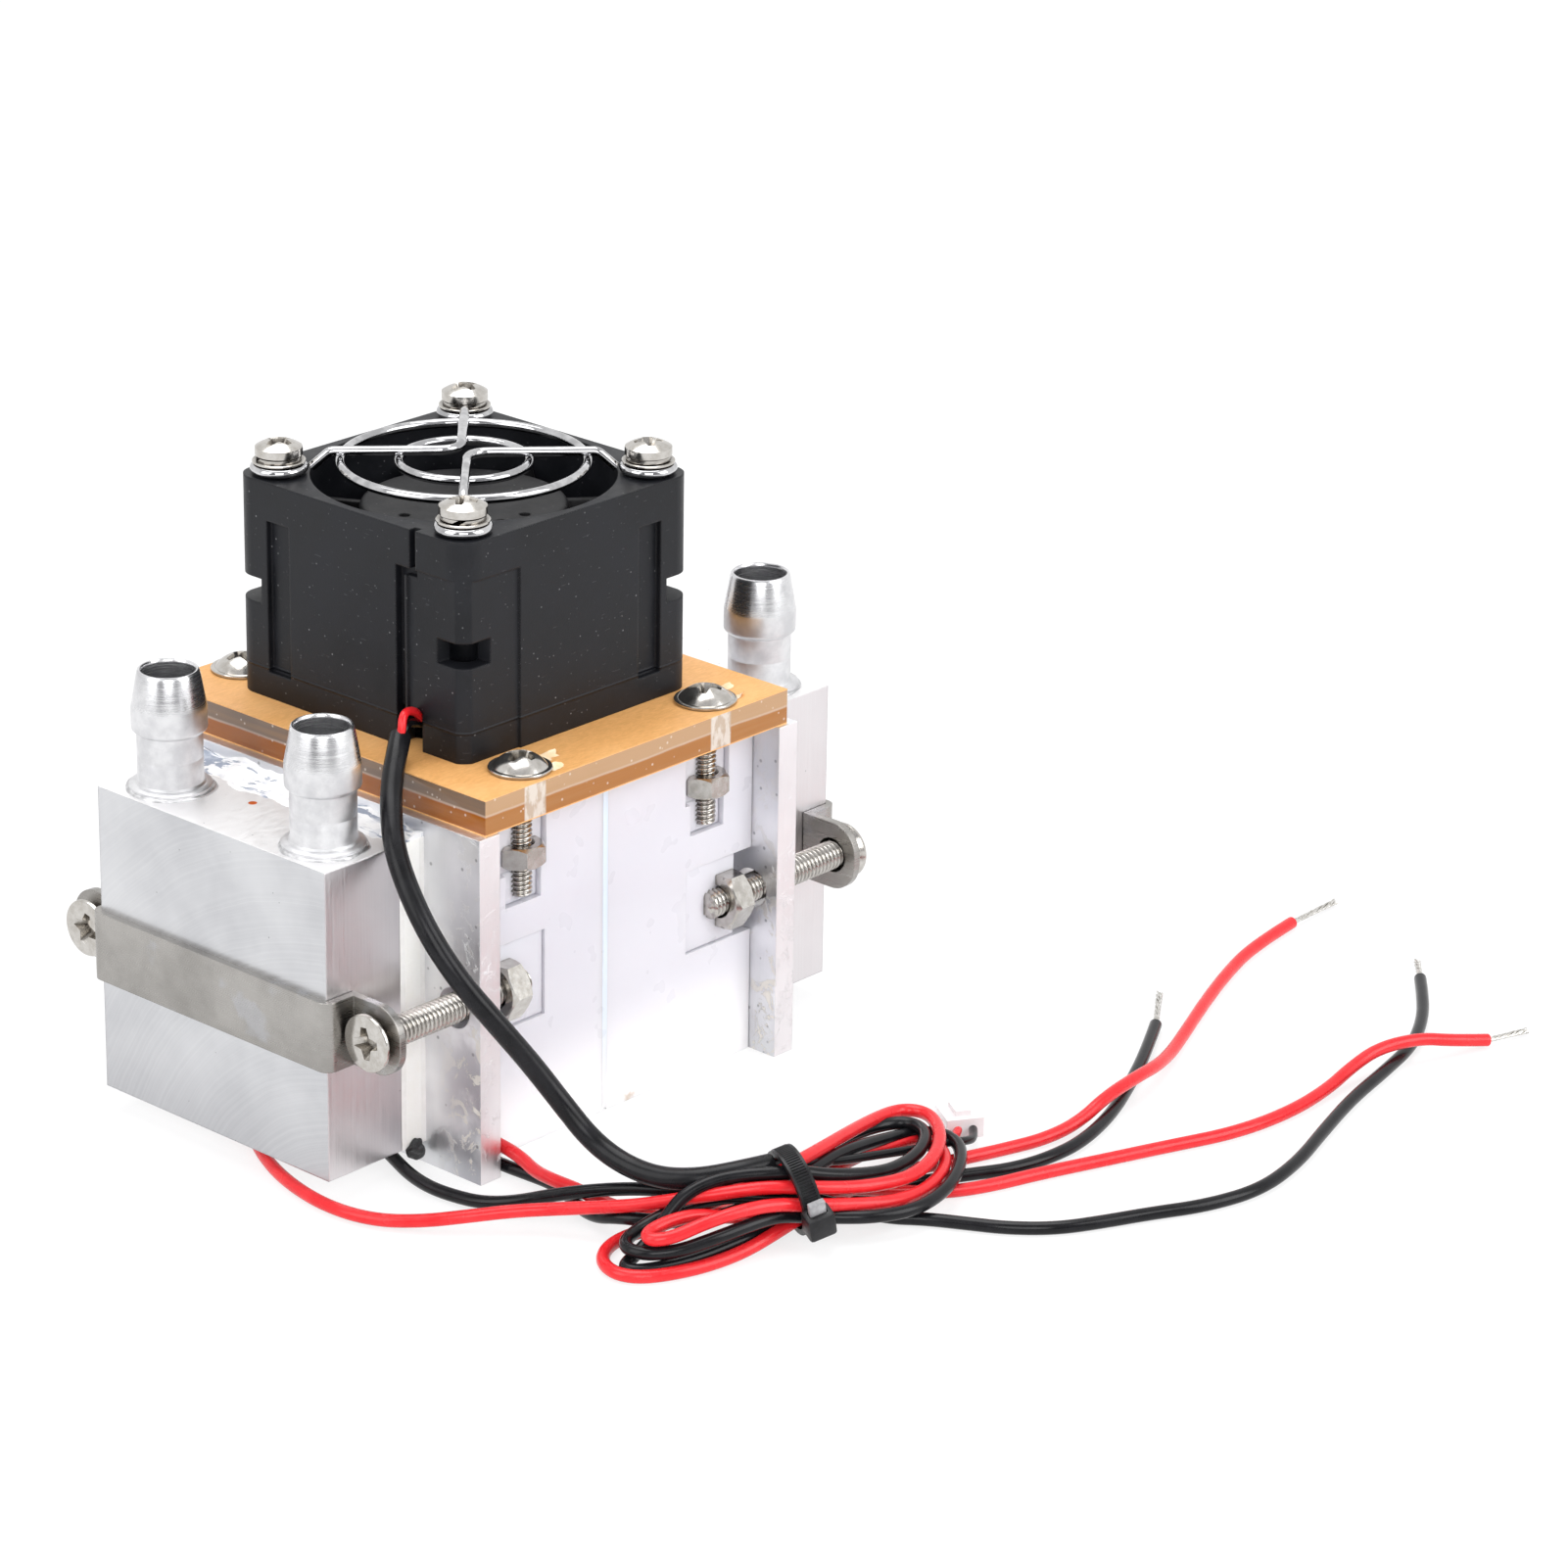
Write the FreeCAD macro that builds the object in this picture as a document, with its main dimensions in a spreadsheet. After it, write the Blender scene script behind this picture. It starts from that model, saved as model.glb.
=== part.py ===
import FreeCAD, Part
import math
import os
import Sketcher

# Liquid and air thermoelectric cooler: two thermoelectric modules, each clamped between a
# finned heat sink and a water block, with one axial fan that blows down through the fins.
# Millimetres, +Z up. The stack runs along X, and the origin is at the middle of the foot.

SIZES = {
    # heat sinks: a base plate with upright fins that meet at the middle
    "sink_margin": 4.4,
    "sink_height": 45.0,
    "base_thickness": 3.4,
    "fin_reach": 24.5,
    "fin_gap": 0.4,
    "fin_thickness": 0.8,
    "fin_count": 14,
    "fin_margin": 0.2,
    # thermoelectric modules
    "ceramic_thickness": 0.8,
    "couple_height": 2.5,
    "pellet_side": 2.2,
    "pellet_count": 8,
    "pellet_margin": 2.2,
    "seal_width": 1.2,
    # water blocks
    "block_depth": 12.2,
    "block_side": 40.0,
    "block_bottom": 3.0,
    "port_spread": 27.0,
    "port_bore": 6.6,
    "port_seat": 8.0,
    "port_seat_depth": 2.2,
    "channel_width": 8.0,
    "channel_depth": 7.2,
    "channel_floor": 6.0,
    # hose barbs
    "barb_height": 15.4,
    "barb_neck": 8.1,
    "barb_neck_height": 7.7,
    "barb_land": 9.3,
    "barb_land_height": 3.05,
    "barb_tip": 7.5,
    "barb_flange": 10.3,
    "barb_flange_height": 0.8,
    "barb_fit": 0.1,
    # clamp straps
    "strap_thickness": 1.0,
    "strap_width": 9.0,
    "strap_ear_reach": 4.0,
    "strap_ear_back": 3.4,
    "strap_fit": 0.1,
    "strap_hole": 4.6,
    "strap_bend": 1.5,
    "clamp_height": 22.2,
    "clamp_clear": 5.0,
    "clamp_hole": 5.2,
    # clamp screws and nuts
    "clamp_thread": 3.8,
    "clamp_head": 7.3,
    "clamp_head_height": 2.3,
    "clamp_rim": 0.5,
    "clamp_tip": 16.2,
    "clamp_nut_flats": 7.0,
    "clamp_nut_height": 3.2,
    "clamp_nut_reach": 18.3,
    "nut_fit": 0.06,
    # clear plate with its paper films
    "plate_margin_x": 10.3,
    "plate_margin_y": 4.4,
    "plate_thickness": 4.3,
    "film_thickness": 0.15,
    "air_edge": 0.2,
    "plate_screw_x": 16.3,
    "plate_screw_inset": 0.5,
    "plate_head_clear": 0.12,
    "plate_hole": 3.4,
    # plate screws and nuts
    "plate_thread": 2.9,
    "plate_head": 7.9,
    "plate_flange_height": 0.5,
    "plate_dome": 6.8,
    "plate_dome_height": 1.7,
    "plate_screw_length": 16.4,
    "plate_nut_flats": 5.5,
    "plate_nut_height": 2.8,
    "plate_nut_drop": 4.8,
    "recess_depth": 1.3,
    "recess_width": 0.9,
    # side pieces that close the duct
    "side_depth": 4.8,
    "side_fit": 0.1,
    "seam_offset": 2.0,
    "seam_width": 0.75,
    "pocket_depth": 4.4,
    "pocket_margin": 1.6,
    "pocket_beyond_tip": 3.6,
    "lead_notch_width": 3.4,
    "lead_notch_height": 5.4,
    # fan frame
    "fan_side": 40.0,
    "fan_height": 28.0,
    "fan_shift_x": -0.85,
    "fan_shift_y": 0.43,
    "fan_corner": 3.0,
    "fan_wall": 1.1,
    "fan_screw_inset": 4.0,
    "fan_screw_hole": 3.4,
    "slit_drop": 0.3,
    "slit_height": 3.2,
    "slit_width": 4.8,
    "post_inset": 0.3,
    "post_width": 9.6,
    "groove_inset": 9.8,
    "groove_width": 3.9,
    "groove_depth": 0.8,
    "groove_bottom": 3.4,
    "groove_drop": 4.9,
    "wire_channel_inset": 10.0,
    "wire_channel_width": 1.5,
    "wire_channel_depth": 1.1,
    "wire_slot_inset": 8.1,
    "wire_slot_width": 1.0,
    "wire_exit_inset": 7.4,
    "wire_exit_width": 4.1,
    "wire_exit_height": 5.0,
    "support_radius": 11.5,
    "support_thickness": 1.5,
    "strut_width": 2.2,
    "strut_height": 2.5,
    "bearing_tube_radius": 3.6,
    "bearing_tube_clear": 5.1,
    # fan motor
    "bearing_radius": 2.5,
    "bearing_height": 3.0,
    "bearing_fit": 0.02,
    "shaft_radius": 1.0,
    "shaft_run": 0.03,
    "board_radius": 10.4,
    "board_thickness": 1.0,
    "rotor_gap": 1.0,
    "stator_core": 5.2,
    "stator_arm": 2.4,
    "stator_shoe": 1.2,
    "stator_gap": 2.9,
    "stator_height": 7.0,
    "coil_width": 4.6,
    "coil_end_gap": 0.35,
    "coil_overhang": 1.2,
    "stator_fit": 0.05,
    # impeller
    "hub_radius": 12.9,
    "hub_bottom": 3.6,
    "hub_recess": 3.6,
    "hub_wall": 1.3,
    "hub_edge": 0.8,
    "magnet_thickness": 1.6,
    "magnet_height": 13.0,
    "blade_clearance": 0.6,
    "blade_count": 7,
    "blade_rise": 0.8,
    "blade_drop": 1.0,
    "blade_sweep": 6.4,
    "blade_bow": 2.0,
    "blade_thickness": 1.0,
    "dimple_radius": 0.7,
    "dimple_depth": 0.5,
    "dimple_circle": 9.3,
    # wire guard and its screws
    "guard_wire": 1.4,
    "guard_outer": 30.3,
    "guard_inner": 16.0,
    "guard_eye": 6.0,
    "guard_ring_lift": 1.5,
    "guard_bend": 3.5,
    "guard_weld": 0.2,
    "guard_drop_inset": 4.4,
    "guard_foot_inset": 2.8,
    "washer_outer": 6.6,
    "washer_inner": 3.2,
    "washer_thickness": 0.9,
    "fan_thread": 2.9,
    "fan_head": 5.9,
    "fan_skirt_height": 1.1,
    "fan_dome_height": 0.9,
    "fan_screw_end": 2.0,
    # leads
    "lead_diameter": 1.65,
    "fan_lead_diameter": 2.7,
    "thin_wire_diameter": 1.1,
    "bare_diameter": 0.9,
    "plug_length": 5.2,
    "plug_width": 4.8,
    "plug_height": 2.6,
    "tie_width": 2.8,
    "tie_thickness": 1.1,
    "tie_inner": 9.2,
}

FRONT_LEFT, FRONT_RIGHT, BACK_RIGHT, BACK_LEFT = (-1, -1), (1, -1), (1, 1), (-1, 1)
CORNERS = {
    "front_left": FRONT_LEFT,
    "front_right": FRONT_RIGHT,
    "back_right": BACK_RIGHT,
    "back_left": BACK_LEFT,
}
TURNED = {"left": 180, "right": 0}

doc = FreeCAD.newDocument("thermoelectric_cooler")
sheet = doc.addObject("Spreadsheet::Sheet", "sizes")
for row, (alias, number) in enumerate(SIZES.items(), start=1):
    sheet.set("A%d" % row, alias)
    sheet.set("B%d" % row, str(number))
    sheet.setAlias("B%d" % row, alias)
doc.recompute()

nodes = []

# Places that several pieces share, as formulas on the sheet
BASE_INNER = "(sizes.fin_gap / 2 + sizes.fin_reach)"
BASE_OUTER = "(%s + sizes.base_thickness)" % BASE_INNER
MODULE_SIDE = "sizes.block_side"
MODULE_DEPTH = "(2 * sizes.ceramic_thickness + sizes.couple_height)"
BLOCK_INNER = "(%s + %s)" % (BASE_OUTER, MODULE_DEPTH)
BLOCK_OUTER = "(%s + sizes.block_depth)" % BLOCK_INNER
BLOCK_TOP = "(sizes.block_bottom + sizes.block_side)"
EAR_OUTER = "(%s - sizes.strap_ear_back)" % BLOCK_OUTER
PLATE_TOP = "(sizes.sink_height + 2 * sizes.film_thickness + sizes.plate_thickness)"
FAN_SCREW = "(sizes.fan_side / 2 - sizes.fan_screw_inset)"
FAN_BORE = "(sizes.fan_side - 2 * sizes.fan_wall)"
BLADE_TIP = "(%s / 2 - sizes.blade_clearance)" % FAN_BORE
GROOVE_TOP = "(sizes.fan_height - sizes.groove_drop)"
HUB_TOP = "(sizes.fan_height - sizes.hub_recess)"
BEARING_TUBE_TOP = "(%s - sizes.hub_wall - sizes.bearing_tube_clear)" % HUB_TOP
STATOR_RADIUS = "(sizes.hub_radius - sizes.hub_wall - sizes.magnet_thickness - sizes.rotor_gap)"
STATOR_BOTTOM = "(sizes.strut_height + sizes.board_thickness + sizes.coil_overhang + sizes.stator_gap)"
CLAMP_Y = "(sizes.block_side / 2 + sizes.clamp_clear)"
FIN_ZONE = "(%s - 2 * sizes.fin_margin)" % MODULE_SIDE
PELLET_ZONE = "(%s - 2 * sizes.pellet_margin)" % MODULE_SIDE
SINK_LENGTH = "(2 * (%s + sizes.sink_margin))" % CLAMP_Y
SIDE_FACE = "(%s / 2 + 2 * sizes.side_fit + sizes.side_depth)" % MODULE_SIDE
BESIDE_FAN = "sizes.fan_side / 2 + sizes.fan_shift_y + sizes.plate_head / 2 + sizes.plate_head_clear"
PLATE_SCREW_Y = "max(%s - sizes.plate_screw_inset; %s)" % (SIDE_FACE, BESIDE_FAN)
PLATE_NUT_TOP = "(sizes.sink_height - sizes.plate_nut_drop)"
BARB_X = "((%s + %s) / 2)" % (BLOCK_INNER, BLOCK_OUTER)


def value(formula):
    result = sheet.evalExpression("%s" % formula)
    return float(getattr(result, "Value", result))


def size(alias):
    return float(sheet.get(alias))


def bind(thing, **formulas):
    for path, formula in formulas.items():
        thing.setExpression(path.replace("__", "."), str(formula))


def place(thing, x="0", y="0", z="0", turn=0, axis=(0, 0, 1), spin=0):
    """Puts a piece at x, y, z, spun about its own upright axis and then turned about the other axis."""
    own = FreeCAD.Rotation(FreeCAD.Vector(0, 0, 1), spin)
    thing.Placement = FreeCAD.Placement(FreeCAD.Vector(), FreeCAD.Rotation(FreeCAD.Vector(*axis), turn) * own)
    bind(thing, Placement__Base__x=x, Placement__Base__y=y, Placement__Base__z=z)


def node(thing, label):
    thing.Label = label
    nodes.append(thing)
    return thing


# Sketches and PartDesign features


def new_body(label):
    return node(doc.addObject("PartDesign::Body", label), label)


def origin_part(body, role):
    return [part for part in body.Origin.OriginFeatures if part.Role == role][0]


def new_sketch(body, name, role="XY_Plane", lift="0"):
    sketch = body.newObject("Sketcher::SketchObject", "%s_%s" % (body.Name, name))
    sketch.AttachmentSupport = (origin_part(body, role), "")
    sketch.MapMode = "FlatFace"
    sketch.setExpression("AttachmentOffset.Base.z", str(lift))
    return sketch


def fix(sketch, kind, geometry, point, formula):
    number = value(formula)
    index = sketch.addConstraint(Sketcher.Constraint(kind, -1, 1, geometry, point, number))
    sketch.setExpression("Constraints[%d]" % index, str(formula))


def draw_outline(sketch, points):
    """A closed outline of straight edges through points given as formulas."""
    first = sketch.GeometryCount
    places = [FreeCAD.Vector(value(x), value(y), 0) for x, y in points]
    count = len(places)
    for index in range(count):
        sketch.addGeometry(Part.LineSegment(places[index], places[(index + 1) % count]))
    for index in range(count):
        following = first + (index + 1) % count
        sketch.addConstraint(Sketcher.Constraint("Coincident", first + index, 2, following, 1))
    for index, (x, y) in enumerate(points):
        fix(sketch, "DistanceX", first + index, 1, x)
        fix(sketch, "DistanceY", first + index, 1, y)


def draw_rectangle(sketch, left, right, low, high):
    draw_outline(sketch, [(left, low), (right, low), (right, high), (left, high)])


def draw_circle(sketch, x, y, radius):
    centre = FreeCAD.Vector(value(x), value(y), 0)
    circle = Part.Circle(centre, FreeCAD.Vector(0, 0, 1), value(radius))
    geometry = sketch.addGeometry(circle)
    index = sketch.addConstraint(Sketcher.Constraint("Radius", geometry, value(radius)))
    sketch.setExpression("Constraints[%d]" % index, str(radius))
    fix(sketch, "DistanceX", geometry, 3, x)
    fix(sketch, "DistanceY", geometry, 3, y)


def pad(body, sketch, length):
    feature = body.newObject("PartDesign::Pad", sketch.Name + "_pad")
    feature.Profile = sketch
    bind(feature, Length=length)
    return feature


def pocket(body, sketch, length, forward=True):
    """Cuts along the sketch's normal when forward, and against it otherwise."""
    feature = body.newObject("PartDesign::Pocket", sketch.Name + "_pocket")
    feature.Profile = sketch
    feature.Reversed = forward
    bind(feature, Length=length)
    return feature


def revolve(body, sketch, axis="Z_Axis"):
    feature = body.newObject("PartDesign::Revolution", sketch.Name + "_revolution")
    feature.Profile = sketch
    feature.ReferenceAxis = (origin_part(body, axis), [""])
    feature.Angle = 360
    return feature


def turn_pattern(body, feature, count):
    pattern = body.newObject("PartDesign::PolarPattern", feature.Name + "_turned")
    pattern.Originals = [feature]
    pattern.Axis = (origin_part(body, "Z_Axis"), [""])
    pattern.Angle = 360
    bind(pattern, Occurrences=count)
    body.Tip = pattern
    return pattern


def line_pattern(body, feature, axis, length, count):
    pattern = body.newObject("PartDesign::LinearPattern", feature.Name + "_row")
    pattern.Originals = [feature]
    pattern.Direction = (origin_part(body, axis), [""])
    bind(pattern, Length=length, Occurrences=count)
    body.Tip = pattern
    return pattern


def round_edges(body, feature, radius, wanted):
    """Rounds those edges of the feature that wanted(edge) picks."""
    doc.recompute()
    names = ["Edge%d" % number for number, edge in enumerate(feature.Shape.Edges, start=1) if wanted(edge)]
    fillet = body.newObject("PartDesign::Fillet", feature.Name + "_round")
    fillet.Base = (feature, names)
    bind(fillet, Radius=radius)
    body.Tip = fillet
    return fillet


def is_upright(edge):
    low, high = edge.BoundBox, 1e-6
    return low.XLength < high and low.YLength < high and low.ZLength > high


# Heat sinks: base plate with fins padded upwards as one extrusion


def make_heat_sink(side):
    body = new_body("heat_sink_" + side)
    half_length = "%s / 2" % SINK_LENGTH
    base = new_sketch(body, "base")
    draw_rectangle(base, BASE_INNER, BASE_OUTER, "-" + half_length, half_length)
    pad(body, base, "sizes.sink_height")
    fin = new_sketch(body, "fin")
    edge = "-%s / 2" % FIN_ZONE
    draw_rectangle(fin, "sizes.fin_gap / 2", BASE_INNER, edge, edge + " + sizes.fin_thickness")
    fin_pad = pad(body, fin, "sizes.sink_height")
    pitch_length = "%s - sizes.fin_thickness" % FIN_ZONE
    line_pattern(body, fin_pad, "Y_Axis", pitch_length, "sizes.fin_count")
    holes = new_sketch(body, "holes", "YZ_Plane")
    for sign in ("-", ""):
        draw_circle(holes, sign + CLAMP_Y, "sizes.clamp_height", "sizes.clamp_hole / 2")
    pocket(body, holes, BASE_OUTER + " + 1")
    place(body, turn=TURNED[side])


# Thermoelectric modules: two ceramic plates, pellets between them and an edge seal


def module_box(label, inner, depth, inset):
    box = doc.addObject("Part::Box", label)
    side = "(%s - 2 * %s)" % (MODULE_SIDE, inset)
    bind(box, Length=depth, Width=side, Height=side)
    place(box, inner, "-%s / 2" % side, "sizes.block_bottom + %s" % inset)
    return box


def turned_copy(label, thing, side):
    """The piece set on its side of the stack by a half turn about Z."""
    group = doc.addObject("Part::Compound", label)
    group.Links = thing
    place(group, turn=TURNED[side])
    return node(group, label)


def make_ceramics(side):
    inner = module_box("ceramic_inner_" + side, BASE_OUTER, "sizes.ceramic_thickness", "0")
    outer_place = BASE_OUTER + " + sizes.ceramic_thickness + sizes.couple_height"
    outer = module_box("ceramic_outer_" + side, outer_place, "sizes.ceramic_thickness", "0")
    turned_copy("module_ceramics_" + side, [inner, outer], side)


def make_edge_seal(side):
    start = BASE_OUTER + " + sizes.ceramic_thickness"
    outside = module_box("seal_outside_" + side, start, "sizes.couple_height", "0")
    inside = module_box("seal_inside_" + side, start, "sizes.couple_height", "sizes.seal_width")
    ring = doc.addObject("Part::Cut", "seal_ring_" + side)
    ring.Base, ring.Tool = outside, inside
    turned_copy("module_seal_" + side, [ring], side)


def make_pellets(side):
    """Square pellets on an even grid, the corner ones left out where the leads are joined."""
    count = int(size("pellet_count"))
    pitch = value(PELLET_ZONE) / count
    middle = size("block_bottom") + value(MODULE_SIDE) / 2
    start = value(BASE_OUTER) + size("ceramic_thickness")
    width = size("pellet_side")
    pellets = []
    for row in range(count):
        for column in range(count):
            if row == 0 and column in (0, count - 1):
                continue
            low_y = (column - (count - 1) / 2) * pitch - width / 2
            low_z = middle + (row - (count - 1) / 2) * pitch - width / 2
            corner = FreeCAD.Vector(start, low_y, low_z)
            pellets.append(Part.makeBox(size("couple_height"), width, width, corner))
    feature = doc.addObject("Part::Feature", "module_pellets_" + side)
    feature.Shape = Part.makeCompound(pellets)
    place(feature, turn=TURNED[side])
    node(feature, "module_pellets_" + side)


# Water blocks: solid aluminium with a U-shaped channel between the two ports


def make_water_block(side):
    body = new_body("water_block_" + side)
    outline = new_sketch(body, "outline", "XY_Plane", "sizes.block_bottom")
    draw_rectangle(outline, BLOCK_INNER, BLOCK_OUTER, "-sizes.block_side / 2", "sizes.block_side / 2")
    pad(body, outline, "sizes.block_side")
    port = "(sizes.port_spread / 2)"
    bores = new_sketch(body, "bores", "XY_Plane", BLOCK_TOP)
    seats = new_sketch(body, "seats", "XY_Plane", BLOCK_TOP)
    for sign in ("-", ""):
        draw_circle(bores, BARB_X, sign + port, "sizes.port_bore / 2")
        draw_circle(seats, BARB_X, sign + port, "sizes.port_seat / 2")
    bore_depth = "sizes.block_side - sizes.channel_floor - sizes.channel_width / 2"
    pocket(body, bores, bore_depth, forward=False)
    pocket(body, seats, "sizes.port_seat_depth", forward=False)
    cross = new_sketch(body, "cross", "YZ_Plane", "%s - sizes.channel_depth / 2" % BARB_X)
    low = "(sizes.block_bottom + sizes.channel_floor)"
    reach = "(%s + sizes.port_bore / 2)" % port
    draw_rectangle(cross, "-" + reach, reach, low, low + " + sizes.channel_width")
    pocket(body, cross, "sizes.channel_depth")
    place(body, turn=TURNED[side])


# Hose barbs: turned nozzles seated in the block's ports


def make_hose_barb(label, sign_x, sign_y):
    body = new_body("hose_barb_" + label)
    bore = "sizes.port_bore / 2"
    spigot = "(sizes.port_seat / 2 - sizes.barb_fit)"
    land_end = "(sizes.barb_neck_height + sizes.barb_land_height)"
    profile = new_sketch(body, "profile", "XZ_Plane")
    draw_outline(profile, [
        (bore, "0.2 - sizes.port_seat_depth"),
        (spigot, "0.2 - sizes.port_seat_depth"),
        (spigot, "0"),
        ("sizes.barb_flange / 2", "0"),
        ("sizes.barb_flange / 2", "sizes.barb_flange_height"),
        ("sizes.barb_neck / 2", "sizes.barb_flange_height"),
        ("sizes.barb_neck / 2", "sizes.barb_neck_height"),
        ("sizes.barb_land / 2", "sizes.barb_neck_height"),
        ("sizes.barb_land / 2", land_end),
        ("sizes.barb_tip / 2", "sizes.barb_height"),
        (bore, "sizes.barb_height"),
    ])
    revolve(body, profile)
    x = "%d * %s" % (sign_x, BARB_X)
    y = "%d * sizes.port_spread / 2" % sign_y
    place(body, x, y, BLOCK_TOP)


# Clamp straps: a band across each water block with an ear at each end


def make_clamp_strap(side):
    body = new_body("clamp_strap_" + side)
    low = "sizes.clamp_height - sizes.strap_width / 2"
    thickness = "sizes.strap_thickness"
    web = BLOCK_OUTER
    ear = EAR_OUTER
    leg = "(sizes.block_side / 2 + sizes.strap_fit)"
    tip = "(%s + sizes.strap_ear_reach)" % CLAMP_Y
    profile = new_sketch(body, "profile", "XY_Plane", low)
    half = [
        ("%s + %s" % (web, thickness), "%s + %s" % (leg, thickness)),
        (ear, "%s + %s" % (leg, thickness)),
        (ear, tip),
        ("%s - %s" % (ear, thickness), tip),
        ("%s - %s" % (ear, thickness), leg),
        (web, leg),
    ]
    mirrored = [(x, "-(%s)" % y) for x, y in reversed(half)]
    draw_outline(profile, half + mirrored)
    band = pad(body, profile, "sizes.strap_width")
    outer_x = value(web) + size("strap_thickness")
    rounded = round_edges(body, band, "sizes.strap_bend",
                          lambda edge: is_upright(edge) and abs(edge.CenterOfMass.x - outer_x) < 1e-3)
    tip_y = value(tip)

    def is_ear_corner(edge):
        middle, box = edge.CenterOfMass, edge.BoundBox
        return abs(abs(middle.y) - tip_y) < 1e-3 and box.YLength < 1e-6 and box.ZLength < 1e-6

    rounded = round_edges(body, rounded, "sizes.strap_width / 2 - 0.6", is_ear_corner)
    holes = new_sketch(body, "holes", "YZ_Plane", "%s - %s - 1" % (ear, thickness))
    for sign in ("-", ""):
        draw_circle(holes, sign + CLAMP_Y, "sizes.clamp_height", "sizes.strap_hole / 2")
    pocket(body, holes, thickness + " + 2")
    place(body, turn=TURNED[side])


# Screws and nuts


def cylinder(label, radius, height, z="0"):
    piece = doc.addObject("Part::Cylinder", label)
    bind(piece, Radius=radius, Height=height)
    place(piece, z=z)
    return piece


def cross_recess(label, top):
    """The two crossed bars that the driver's tip fills, down from the top of a head."""
    bars = []
    for name, length, width in (("a", "sizes.recess_width * 4", "sizes.recess_width"),
                                ("b", "sizes.recess_width", "sizes.recess_width * 4")):
        bar = doc.addObject("Part::Box", "%s_bar_%s" % (label, name))
        bind(bar, Length=length, Width=width, Height="sizes.recess_depth + 1")
        place(bar, "-%s / 2" % length, "-%s / 2" % width, "%s - sizes.recess_depth" % top)
        bars.append(bar)
    cross = doc.addObject("Part::MultiFuse", label + "_recess")
    cross.Shapes = bars
    return cross


def screw_from(label, pieces, top):
    """The screw stands on its tip, with its head's underside at z = 0."""
    solid = doc.addObject("Part::MultiFuse", label + "_blank")
    solid.Shapes = pieces
    screw = doc.addObject("Part::Cut", label)
    screw.Base, screw.Tool = solid, cross_recess(label, top)
    return node(screw, label)


def make_clamp_screw(label, sign_x, sign_y):
    name = "clamp_screw_" + label
    length = "(%s - sizes.clamp_tip)" % EAR_OUTER
    cone_height = "(sizes.clamp_head_height - sizes.clamp_rim)"
    shank = cylinder(name + "_shank", "sizes.clamp_thread / 2", length, "-" + length)
    cone = doc.addObject("Part::Cone", name + "_cone")
    bind(cone, Radius1="sizes.clamp_thread / 2", Radius2="sizes.clamp_head / 2", Height=cone_height)
    sink = "((sizes.strap_hole - sizes.clamp_thread) / (sizes.clamp_head - sizes.clamp_thread) * %s)" % cone_height
    place(cone, z="-" + sink)
    rim = cylinder(name + "_rim", "sizes.clamp_head / 2", "sizes.clamp_rim", "%s - %s" % (cone_height, sink))
    top = "(sizes.clamp_head_height - %s)" % sink
    screw = screw_from(name, [shank, cone, rim], top)
    x = "%d * %s" % (sign_x, EAR_OUTER)
    y = "%d * %s" % (sign_y, CLAMP_Y)
    place(screw, x, y, "sizes.clamp_height", 90 * sign_x, (0, 1, 0))


def nut(label, flats, height, thread):
    prism = doc.addObject("Part::Prism", label + "_prism")
    prism.Polygon = 6
    bind(prism, Circumradius="%s / sqrt(3)" % flats, Height=height)
    bore = cylinder(label + "_bore", "%s / 2 + sizes.nut_fit" % thread, height)
    ring = doc.addObject("Part::Cut", label)
    ring.Base, ring.Tool = prism, bore
    return ring


def make_clamp_nuts():
    rings = []
    for label, (sign_x, sign_y) in CORNERS.items():
        ring = nut("clamp_nut_" + label, "sizes.clamp_nut_flats", "sizes.clamp_nut_height", "sizes.clamp_thread")
        x = "%d * sizes.clamp_nut_reach" % sign_x
        place(ring, x, "%d * %s" % (sign_y, CLAMP_Y), "sizes.clamp_height", 90 * sign_x, (0, 1, 0), spin=30)
        rings.append(ring)
    group = doc.addObject("Part::Compound", "clamp_nuts")
    group.Links = rings
    node(group, "clamp_nuts")


def domed_head(label, diameter, height, lift):
    """A shallow dome that ends at the head's rim, cut from a sphere."""
    ball = doc.addObject("Part::Sphere", label + "_ball")
    radius = "((%s ^ 2 / 4 + %s ^ 2) / (2 * %s))" % (diameter, height, height)
    bind(ball, Radius=radius)
    place(ball, z="%s + %s - %s" % (lift, height, radius))
    slab = cylinder(label + "_slab", "%s / 2 + 1" % diameter, height, lift)
    dome = doc.addObject("Part::Common", label + "_dome")
    dome.Base, dome.Tool = ball, slab
    return dome


def make_plate_screw(label, sign_x, sign_y):
    name = "plate_screw_" + label
    shank = cylinder(name + "_shank", "sizes.plate_thread / 2", "sizes.plate_screw_length",
                     "-sizes.plate_screw_length")
    flange = cylinder(name + "_flange", "sizes.plate_head / 2", "sizes.plate_flange_height")
    dome = domed_head(name, "sizes.plate_dome", "sizes.plate_dome_height", "sizes.plate_flange_height")
    screw = screw_from(name, [shank, flange, dome], "(sizes.plate_flange_height + sizes.plate_dome_height)")
    place(screw, "%d * sizes.plate_screw_x" % sign_x, "%d * %s" % (sign_y, PLATE_SCREW_Y), PLATE_TOP)


def make_plate_nuts():
    rings = []
    for label, (sign_x, sign_y) in CORNERS.items():
        ring = nut("plate_nut_" + label, "sizes.plate_nut_flats", "sizes.plate_nut_height", "sizes.plate_thread")
        x = "%d * sizes.plate_screw_x" % sign_x
        y = "%d * %s" % (sign_y, PLATE_SCREW_Y)
        place(ring, x, y, "%s - sizes.plate_nut_height" % PLATE_NUT_TOP)
        rings.append(ring)
    group = doc.addObject("Part::Compound", "plate_nuts")
    group.Links = rings
    node(group, "plate_nuts")


# Clear plate with a paper film on each face


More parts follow.
